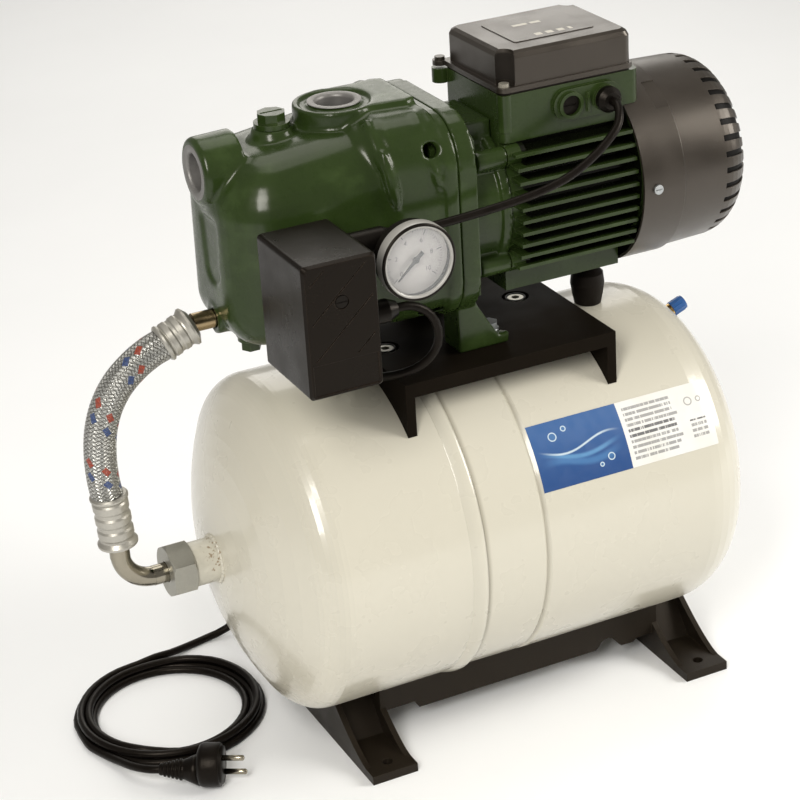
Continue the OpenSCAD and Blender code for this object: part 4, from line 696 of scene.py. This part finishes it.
for finish, names in worn_by.items():
    for name in names:
        wear(nodes[name], finish)

# Cords on their bodies
finish_piece(lead, "cord_rubber")
finish_piece(motor_cord, "cord_rubber")
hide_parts("mains_lead")
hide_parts("motor_cable")


# Castings: the solids' own shapes with their edges run round, as poured iron has them
# The solids' points are merged when they are as near as this
SOLID_GAP = 1e-5


def swelling(ends, radius):
    """A long rounded form from one end to the other, and its twin on the far side"""
    bm = bmesh.new()
    for side in (1, -1):
        a, b = (Vector((x, y * side, z)) for x, y, z in ends)
        aim = (b - a).to_track_quat("Z", "Y").to_matrix().to_4x4()
        size = Matrix.Diagonal((radius, radius, (b - a).length / 2, 1.0))
        bmesh.ops.create_uvsphere(bm, u_segments=20, v_segments=14, radius=1.0,
                                  matrix=Matrix.Translation((a + b) / 2) @ aim @ size)
    return bm


def casting(name, node, grain, passes, forms=()):
    """A solid rebuilt in so fine a grain and eased in so many passes

    Forms are (ends, radius, kind), where kind is UNION for a ridge and DIFFERENCE for a pocket.
    """
    draft = nodes[node].data.copy()
    bm = bmesh.new()
    bm.from_mesh(draft)
    bmesh.ops.remove_doubles(bm, verts=bm.verts, dist=SOLID_GAP)
    bm.to_mesh(draft)
    bm.free()
    piece, cores = add_piece(name, draft), []
    for k, (ends, radius, kind) in enumerate(forms):
        core = piece_from(swelling(ends, radius), "core_%d" % k)
        cut = piece.modifiers.new("core_%d" % k, "BOOLEAN")
        cut.object, cut.operation, cut.solver = core, kind, "EXACT"
        cores.append(core)
    melt = piece.modifiers.new("melt", "REMESH")
    melt.mode, melt.voxel_size = "VOXEL", grain
    ease = piece.modifiers.new("ease", "SMOOTH")
    ease.factor, ease.iterations = 0.5, passes
    bpy.context.view_layer.update()
    graph = bpy.context.evaluated_depsgraph_get()
    shape = bpy.data.meshes.new_from_object(piece.evaluated_get(graph))
    piece.modifiers.clear()
    piece.data = shape
    for core in cores:
        bpy.data.objects.remove(core)
    set_smooth(shape)
    finish_piece(piece, "green_casting")
    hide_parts(node)


casting("pump_casting", "pump_body", 0.0018, 8, (
    (((-0.1108, -0.0420, 0.5465), (-0.1104, -0.0735, 0.5110)), 0.0062, "UNION"),
    (((-0.1106, -0.0690, 0.5290), (-0.1026, -0.0742, 0.4810)), 0.0056, "UNION"),
    (((-0.0735, -0.0735, 0.5150), (-0.0655, -0.0752, 0.4880)), 0.0036, "UNION"),
    (((-0.0712, -0.0420, 0.5462), (-0.0742, -0.0650, 0.5340)), 0.0036, "UNION"),
    (((-0.0712, -0.0540, 0.5140), (-0.0705, -0.0880, 0.5290)), 0.0064, "DIFFERENCE")))
casting("bracket_casting", "motor_bracket", 0.0015, 5)

# Machined ports: the bore and its thread, and the thickness of the face
BORE, THREAD_PITCH, THREAD_TURNS = 0.0151, 0.002309, 6
THREAD_START, THREAD_DEPTH, CREST = 0.0016, 0.0010, BORE - 0.0001
FACE_THICK = 0.0006


def port_ring(face_radius):
    """A machined port: its flat face and the threads inside it"""
    profile = [(FACE_THICK, face_radius), (0.0001, face_radius), (0.0, face_radius - 0.0003),
               (0.0, BORE + 0.0012), (0.0012, BORE)]
    for k in range(THREAD_TURNS):
        at = THREAD_START + k * THREAD_PITCH
        profile += [(at, CREST), (at + THREAD_PITCH / 2, BORE - THREAD_DEPTH)]
    end = THREAD_START + THREAD_TURNS * THREAD_PITCH
    return profile + [(end, CREST), (end, BORE + 0.0003), (FACE_THICK, BORE + 0.0015),
                      (FACE_THICK, face_radius)]


suction_ring = turned(port_ring(0.0215), Matrix.Translation(SUCTION_FACE), 72)
finish_piece(piece_from(suction_ring, "suction_port_face"), "machined")
discharge_ring = turned(port_ring(0.0213), Matrix.Translation(DISCHARGE_FACE) @ DOWNWARD, 72)
finish_piece(piece_from(discharge_ring, "discharge_port_face"), "machined")

# Weld where the connection joins the tank, uneven as a hand-laid bead is
WELD_X, WELD_OUT, BEAD_RADIUS = -0.2524, 0.0190, 0.0019


def weld_bead():
    bm = bmesh.new()
    start = (WELD_X, 0, WELD_OUT)
    ring = bmesh.ops.create_circle(bm, segments=10, radius=BEAD_RADIUS, cap_ends=False,
                                   matrix=Matrix.Translation(start))["verts"]
    bmesh.ops.rotate(bm, verts=ring, cent=start, matrix=Matrix.Rotation(math.pi / 2, 3, "X"))
    bmesh.ops.spin(bm, geom=bm.verts[:] + bm.edges[:], cent=(0, 0, 0), axis=(1, 0, 0),
                   angle=FULL_TURN, steps=150, use_merge=True, use_duplicate=False)
    closed(bm)
    for vert in bm.verts:
        turn = math.atan2(vert.co.y, vert.co.z)
        ripple = 0.16 * math.sin(turn * 31)
        wander = 0.10 * math.sin(turn * 13 + 1.0) * math.sin(turn * 5)
        radial = Vector((0, vert.co.y, vert.co.z))
        middle = radial.normalized() * WELD_OUT + Vector((WELD_X, 0, 0))
        vert.co = middle + (vert.co - middle) * (1 + ripple + wander)
    bmesh.ops.transform(bm, matrix=Matrix.Translation((0, 0, TANK_AXIS)), verts=bm.verts)
    return bm


finish_piece(piece_from(weld_bead(), "connection_weld"), "weld")


# Swell of the front shell where it laps over the rear one
def seam_swell():
    profile = [(-0.0905, 0.1424), (-0.0880, 0.1432), (-0.0850, 0.1444), (-0.0820, 0.1451),
               (-0.0790, 0.1453), (-0.0770, 0.1451), (-0.0757, 0.1443), (-0.0752, 0.1418),
               (-0.0905, 0.1424)]
    return turned(profile, Matrix.Translation((0, 0, TANK_AXIS)), 180)


finish_piece(piece_from(seam_swell(), "tank_seam"), "cream")


# Dark ring inside the fan cover's shoulder, behind the slots: painted shade where the cover's
# inside shows through them
RING_START = 0.1895
# The middle of its bend, and the bend's outer and inner radius
BEND_X, BEND_OUT, OUTER_BEND, INNER_BEND = 0.194, 0.051, 0.0246, 0.0226


def shoulder_shade_ring():
    def bend(radius, turns):
        return [(BEND_X + radius * math.cos(math.radians(t)),
                 BEND_OUT + radius * math.sin(math.radians(t))) for t in turns]
    outer, inner = (RING_START, BEND_OUT + OUTER_BEND), (RING_START, BEND_OUT + INNER_BEND)
    profile = ([outer] + bend(OUTER_BEND, range(90, 0, -6)) + bend(INNER_BEND, range(6, 96, 6))
               + [inner, outer])
    return turned(profile, Matrix.Translation((0, 0, SHAFT_HEIGHT)), 96)


finish_piece(piece_from(shoulder_shade_ring(), "fan_cover_shade_ring"), "painted_recess_shade")


# Dark rings round the heads of the platform's screws: painted shade in their sunk seats
PLATFORM_SCREWS = ((0.043, 0.0168), (-0.095, -0.0168))
SCREW_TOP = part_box("platform_screws")[1][2]


def screw_shade_ring(x, y):
    return turned([(0.0, 0.0068), (-0.0004, 0.0071), (-0.0004, 0.0087), (0.0, 0.0090),
                   (0.0006, 0.0090), (0.0006, 0.0068), (0.0, 0.0068)],
                  Matrix.Translation((x, y, SCREW_TOP)) @ DOWNWARD, 48)


for k, (x, y) in enumerate(PLATFORM_SCREWS):
    finish_piece(piece_from(screw_shade_ring(x, y), "screw_ring_%d" % k), "painted_recess_shade")

# Print on the lid's raised panel, as plain bars: the place, the length and the width of each
LID_BARS = ((0.046, 0.010, 0.013, 0.0045), (0.062, 0.010, 0.009, 0.0045),
            (0.050, -0.020, 0.006, 0.006), (0.060, -0.020, 0.006, 0.006),
            (0.070, -0.020, 0.006, 0.006), (0.080, -0.020, 0.003, 0.006))
BARS_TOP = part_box("terminal_lid")[1][2] + 0.00008
BARS_THICK = 0.0003
bars = bmesh.new()
for x, y, long, wide in LID_BARS:
    block(bars, (x, y - wide / 2, BARS_TOP - BARS_THICK), (x + long, y + wide / 2, BARS_TOP))
finish_piece(piece_from(closed(bars), "lid_marks", smooth=False), "lid_print",
             "terminal_lid")

# Plug, drawn along X from the cord: the boot lies flat and the body leans to one side
PLUG_X, PLUG_Y, BOOT_HEIGHT, BODY_HEIGHT = -0.3274, -0.0115, 0.0140, 0.0187
plug_turn = Matrix.Rotation(math.radians(-31), 4, "Z")
boot_place = Matrix.Translation((PLUG_X, PLUG_Y, BOOT_HEIGHT)) @ plug_turn
body_place = (Matrix.Translation((PLUG_X, PLUG_Y, BODY_HEIGHT)) @ plug_turn
              @ Matrix.Rotation(math.radians(20), 4, "X"))
BOOT_RIBS, FIRST_RIB, RIB_STEP = 5, 0.0075, 0.0034
RIB_RADIUS, RIB_GROWTH = 0.0056, 0.00075
PIN_OFFSET = 0.0095


def plug_boot():
    profile = [(0.004, 0.0), (0.004, 0.0046), (0.0055, 0.0052)]
    for k in range(BOOT_RIBS):
        start = FIRST_RIB + k * RIB_STEP
        out = RIB_RADIUS + k * RIB_GROWTH
        profile += [(start, out - 0.0008), (start + 0.0004, out + 0.0005),
                    (start + 0.0019, out + 0.0006), (start + 0.0023, out - 0.0006)]
    profile += [(0.026, 0.0088), (0.0315, 0.0112), (0.0375, 0.0136), (0.0375, 0.0)]
    return turned(profile, boot_place, 48)


def plug_body():
    profile = [(0.0372, 0.0), (0.0372, 0.0132), (0.0385, 0.0164), (0.0405, 0.0181),
               (0.0425, 0.0185), (0.0548, 0.0185), (0.0560, 0.0180), (0.0564, 0.0170),
               (0.0564, 0.0162), (0.0580, 0.0160), (0.0580, 0.0)]
    return turned(profile, body_place, 64)


def plug_pins():
    profile = [(0.0579, 0.0), (0.0579, 0.0024), (0.0752, 0.0024), (0.0764, 0.0019),
               (0.0770, 0.0009), (0.0770, 0.0)]
    bm = bmesh.new()
    for side in (-1, 1):
        join(bm, turned(profile, Matrix.Translation((0, 0, side * PIN_OFFSET)), 20))
    bmesh.ops.transform(bm, matrix=body_place, verts=bm.verts)
    return bm


boot = finish_piece(piece_from(plug_boot(), "plug_boot"), "cord_rubber")
plug = finish_piece(piece_from(plug_body(), "plug_body"), "cord_rubber")
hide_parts("mains_plug")
pins = finish_piece(piece_from(plug_pins(), "plug_pins"), "chrome")

# Braided hose, with its own map so that the braid follows it
HOSE_ROUTE = [(-0.277, 0, 0.384), (-0.288, 0, 0.380), (-0.302, 0, 0.372), (-0.316, 0, 0.360),
              (-0.327, 0, 0.344), (-0.334, 0, 0.325), (-0.337, 0, 0.304), (-0.337, 0, 0.283),
              (-0.3355, 0, 0.270)]


def sleeve(line, radius, sides):
    """A tube along a line, with a map in turns round it and in metres along it"""
    bm = bmesh.new()
    around = bm.verts.layers.float.new("around")
    along = bm.verts.layers.float.new("along")

    def frame_at(i):
        ahead = (line[min(i + 1, len(line) - 1)] - line[max(i - 1, 0)]).normalized()
        side = Vector((0, 1, 0))
        return (Matrix.Translation(line[i])
                @ Matrix((side, ahead.cross(side), ahead)).transposed().to_4x4())

    ring = bmesh.ops.create_circle(bm, segments=sides, radius=radius, cap_ends=False)["verts"]
    for vert in ring:
        vert[around] = (math.atan2(vert.co.y, vert.co.x) / FULL_TURN) % 1.0
    bmesh.ops.transform(bm, matrix=frame_at(0), verts=ring)
    edges, gone = bm.edges[:], 0.0
    for i in range(1, len(line)):
        made = bmesh.ops.extrude_edge_only(bm, edges=edges)["geom"]
        ring = [g for g in made if isinstance(g, bmesh.types.BMVert)]
        fresh = set(ring)
        edges = [g for g in made if isinstance(g, bmesh.types.BMEdge)
                 and g.verts[0] in fresh and g.verts[1] in fresh]
        bmesh.ops.transform(bm, matrix=frame_at(i) @ frame_at(i - 1).inverted(), verts=ring)
        gone += (line[i] - line[i - 1]).length
        for vert in ring:
            vert[along] = gone
    spread = bm.loops.layers.uv.new("UVMap")
    for face in bm.faces:
        turns = [loop.vert[around] for loop in face.loops]
        wraps = max(turns) - min(turns) > 0.5
        for loop, turn in zip(face.loops, turns):
            loop[spread].uv = (turn + (1.0 if wraps and turn < 0.5 else 0.0), loop.vert[along])
    bmesh.ops.recalc_face_normals(bm, faces=bm.faces)
    return bm


hose_sleeve = sleeve(smooth_route(HOSE_ROUTE, steps=6), HOSE_RADIUS, 64)
hose = finish_piece(piece_from(hose_sleeve, "braid_sleeve"), "braid")
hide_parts("hose_braid")


# Label on the tank's front, as a blue panel and a white one
LABEL_START, LABEL_MIDDLE, LABEL_END = -0.0170, 0.0655, 0.1480
# Its angles up the tank's side, how far it stands off, and a panel's length over its height
LABEL_LOW, LABEL_HIGH, LABEL_LIFT, LABEL_SHAPE = 21.5, 43.5, 0.0003, 1.45
# Where the tank's side starts to bend into its end, and the radius of that bend
SIDE_END, END_BEND = 0.138, 0.046


def tank_skin(x):
    """The shell's radius at a place along it"""
    if x <= SIDE_END:
        return TANK_RADIUS
    return TANK_RADIUS - END_BEND + math.sqrt(END_BEND ** 2 - (x - SIDE_END) ** 2)


def label_panel(name, x0, x1):
    bm = bmesh.new()
    bmesh.ops.create_grid(bm, x_segments=30, y_segments=14, size=0.5)
    spread = bm.loops.layers.uv.new("UVMap")
    for face in bm.faces:
        for loop in face.loops:
            loop[spread].uv = (loop.vert.co.x + 0.5, loop.vert.co.y + 0.5)
    for vert in bm.verts:
        x = x0 + (vert.co.x + 0.5) * (x1 - x0)
        angle = math.radians(LABEL_LOW + (vert.co.y + 0.5) * (LABEL_HIGH - LABEL_LOW))
        out = tank_skin(x) + LABEL_LIFT
        vert.co = (x, -out * math.cos(angle), TANK_AXIS + out * math.sin(angle))
    for face in bm.faces:
        face.normal_update()
        if face.normal.y > 0:
            face.normal_flip()
    return piece_from(bm, name)


pale, white = tint(88, 138, 182), tint(196, 212, 220)
# Waves: the height, the swing, the number of turns, the start, the thickness and the colour
WAVES = ((0.34, 0.060, 1.1, 0.4, 0.055, tint(66, 112, 162)),
         (0.46, 0.075, 0.9, 1.7, 0.034, pale), (0.56, 0.085, 1.0, 2.6, 0.016, white))
# Bubbles and rings: the place on the panel and the radius
BUBBLES = ((0.24, 0.76, 0.060), (0.38, 0.84, 0.036), (0.80, 0.26, 0.050), (0.68, 0.18, 0.028))
RINGS = ((0.78, 0.74, 0.058), (0.90, 0.74, 0.036))
ROWS = 12.0


def blue_print():
    """The blue panel: waves that fade out at its ends, and bubbles over them"""
    f = Finish("label_blue", tint(44, 84, 138), 0.34, coat=0.3, coat_rough=0.15)
    u, v, _ = f.parts(f.uv())
    colour = f.mix(f.span(v, 0.0, 1.0), tint(34, 70, 124), tint(52, 92, 146))
    for level, swing, turns, start, thick, tone in WAVES:
        crest = level + f.math("SINE", u * (turns * FULL_TURN) + start) * swing
        glow = f.span(f.magnitude(crest - v), thick * 0.25, thick * 1.5, 0.9, 0.0)
        colour = f.mix(glow * f.span(u, 0.02, 0.3) * f.span(u, 0.98, 0.7), colour, tone)
    for x, y, size in BUBBLES:
        away = f.distance((u - x) * LABEL_SHAPE, v - y)
        ring = f.span(f.magnitude(away - size), 0.004, 0.012, 0.9, 0.0)
        colour = f.mix(ring, colour, white)
        colour = f.mix(f.span(away, size, size * 0.6) * 0.3, colour, pale)
    f.set("Base Color", colour)
    f.set("Roughness", f.span(f.noise(120.0), 0.3, 0.7, 0.28, 0.4))
    return f


def white_print():
    """The white panel: rows of grey dashes in two columns, and two rings over the right one"""
    paper, grey = tint(222, 222, 220), tint(88, 88, 90)
    f = Finish("label_white", paper, 0.4, coat=0.25, coat_rough=0.15)
    u, v, _ = f.parts(f.uv())
    row = (v * ROWS).floor()
    level = (v * ROWS) % 1.0
    dashes = f.noise(1.0, 2.0, 0.8,
                     vector=f.add("CombineXYZ", sockets={0: u * 40.0, 1: row * 7.3}))
    ends = f.noise(5.0, 1.0, vector=f.add("CombineXYZ", sockets={0: 3.0, 1: row * 1.7}))
    left = (u > 0.05) * (u < ends * 0.5 + 0.34) * (v > 0.08) * (v < 0.92)
    right = (u > 0.74) * (u < 0.92) * (v > 0.16) * (v < 0.46)
    ink = (left + right) * (level > 0.22) * (level < 0.76) * f.span(dashes, 0.36, 0.48)
    heavy = (row > 4.5) * (row < 6.5) * 0.3 + 0.66
    tone = f.mix(f.span(f.noise(30.0), 0.3, 0.7), paper, tint(218, 216, 210))
    for x, y, size in RINGS:
        away = f.distance((u - x) * LABEL_SHAPE, v - y)
        ink = ink + f.span(f.magnitude(away - size), 0.006, 0.014, 0.9, 0.0)
    f.set("Base Color", f.mix(f.math("MINIMUM", ink * heavy, 1.0), tone, grey))
    f.set("Roughness", f.span(f.noise(140.0), 0.3, 0.7, 0.34, 0.46))
    return f


finishes["label_blue"], finishes["label_white"] = blue_print(), white_print()
finish_piece(label_panel("label_blue_panel", LABEL_START, LABEL_MIDDLE), "label_blue")
finish_piece(label_panel("label_white_panel", LABEL_MIDDLE, LABEL_END), "label_white")

# Marks and numbers of the gauge's dial: where its scale starts, its sweep and its steps
START, SWEEP, STEPS = 222.0, 264.0, 50
# Every so many steps, a mark's length and width, with the longest first
MARK_SIZES = ((10, 0.0042, 0.0007), (5, 0.0030, 0.0004), (1, 0.0018, 0.00025))
MARKS_OUT, NUMBERS_OUT = 0.0236, 0.0150
NUMBER_SIZE, NUMBER_THICK = 0.0052, 0.00005


def dial_point(turn, out):
    angle = math.radians(START - SWEEP * turn)
    return GAUGE + Vector((out * math.cos(angle), 0.0, out * math.sin(angle)))


def dial_marks():
    bm = bmesh.new()
    for k in range(STEPS + 1):
        length, width = next(size for every, *size in MARK_SIZES if k % every == 0)
        spot = dial_point(k / STEPS, MARKS_OUT - length / 2)
        angle = math.radians(SWEEP * k / STEPS - START)
        block(bm, (-length / 2, -0.00012, -width / 2), (length / 2, 0.00005, width / 2),
              Matrix.Translation(spot) @ Matrix.Rotation(angle, 4, "Y"))
    return closed(bm)


finish_piece(piece_from(dial_marks(), "dial_marks", smooth=False), "ink")


def dial_number(text, k):
    letters = bpy.data.curves.new("number_" + text, "FONT")
    letters.body = text
    letters.size, letters.extrude = NUMBER_SIZE, NUMBER_THICK
    letters.align_x, letters.align_y = "CENTER", "CENTER"
    holder = add_piece("number_" + text, letters)
    bpy.context.view_layer.update()
    mesh = bpy.data.meshes.new_from_object(holder)
    bpy.data.objects.remove(holder)
    spot = dial_point(k / STEPS, NUMBERS_OUT) + Vector((0, -0.0001, 0))
    mesh.transform(Matrix.Translation(spot) @ Matrix.Rotation(math.pi / 2, 4, "X"))
    finish_piece(add_piece("dial_number_" + text, mesh), "ink")


for k, text in enumerate(("0", "2", "4", "6", "8", "10")):
    dial_number(text, k * 10)

# Bright rim of the gauge, whose front stands before the dial
RIM_FRONT = -0.1283
rim = turned([(0.0, 0.0262), (-0.0010, 0.0267), (-0.0015, 0.0280), (-0.0013, 0.0296),
              (-0.0004, 0.0305), (0.0010, 0.0308), (0.0085, 0.0308), (0.0090, 0.0306),
              (0.0090, 0.0303), (0.0006, 0.0303), (0.0006, 0.0262), (0.0, 0.0262)],
             Matrix.Translation((GAUGE.x, RIM_FRONT, GAUGE.z)) @ REARWARD, 96)
finish_piece(piece_from(rim, "gauge_rim"), "bezel")


# Stage: a pale floor and soft studio light
FLOOR_SIZE = 6.0
FLOOR_COLOURS = (0.91, 0.925, 0.95, 1.0), (0.92, 0.935, 0.96, 1.0), (0.93, 0.945, 0.97, 1.0)
SKY, SKY_STRENGTH, LAMP_COLOUR = (1.0, 0.965, 0.90, 1.0), 0.32, (1.0, 0.97, 0.91)
AIM = Vector((-0.05, 0.0, 0.3))
# Each lamp's name, place, width, height and power
LAMPS = (("key_light", (-1.55, -1.6, 1.8), 0.75, 1.6, 51.0),
         ("right_light", (1.9, -1.0, 1.3), 1.0, 1.4, 42.0),
         ("top_light", (0.2, 0.6, 2.4), 1.6, 1.6, 14.0),
         ("back_light", (0.9, 2.4, 1.5), 1.8, 1.8, 15.0))


def stage():
    bm = bmesh.new()
    bmesh.ops.create_grid(bm, x_segments=1, y_segments=1, size=FLOOR_SIZE)
    floor = piece_from(bm, "floor")
    darker, paper, paler = FLOOR_COLOURS
    f = Finish("floor_paper", paper, 0.7)
    f.set("Base Color", f.ramp(f.noise(3.0), (0.3, darker), (0.7, paler)))
    floor.data.materials.append(f.material)
    world = bpy.context.scene.world or bpy.data.worlds.new("studio")
    bpy.context.scene.world = world
    world.use_nodes = True
    sky = world.node_tree.nodes["Background"]
    sky.inputs["Color"].default_value = SKY
    sky.inputs["Strength"].default_value = SKY_STRENGTH
    for name, place, wide, high, power in LAMPS:
        lamp = bpy.data.lights.new(name, "AREA")
        lamp.shape, lamp.size, lamp.size_y, lamp.energy = "ELLIPSE", wide, high, power
        lamp.color = LAMP_COLOUR
        light = add_piece(name, lamp)
        aim = (AIM - Vector(place)).to_track_quat("-Z", "Y")
        light.matrix_world = Matrix.Translation(place) @ aim.to_matrix().to_4x4()


stage()
bpy.context.scene.view_settings.view_transform = "Standard"
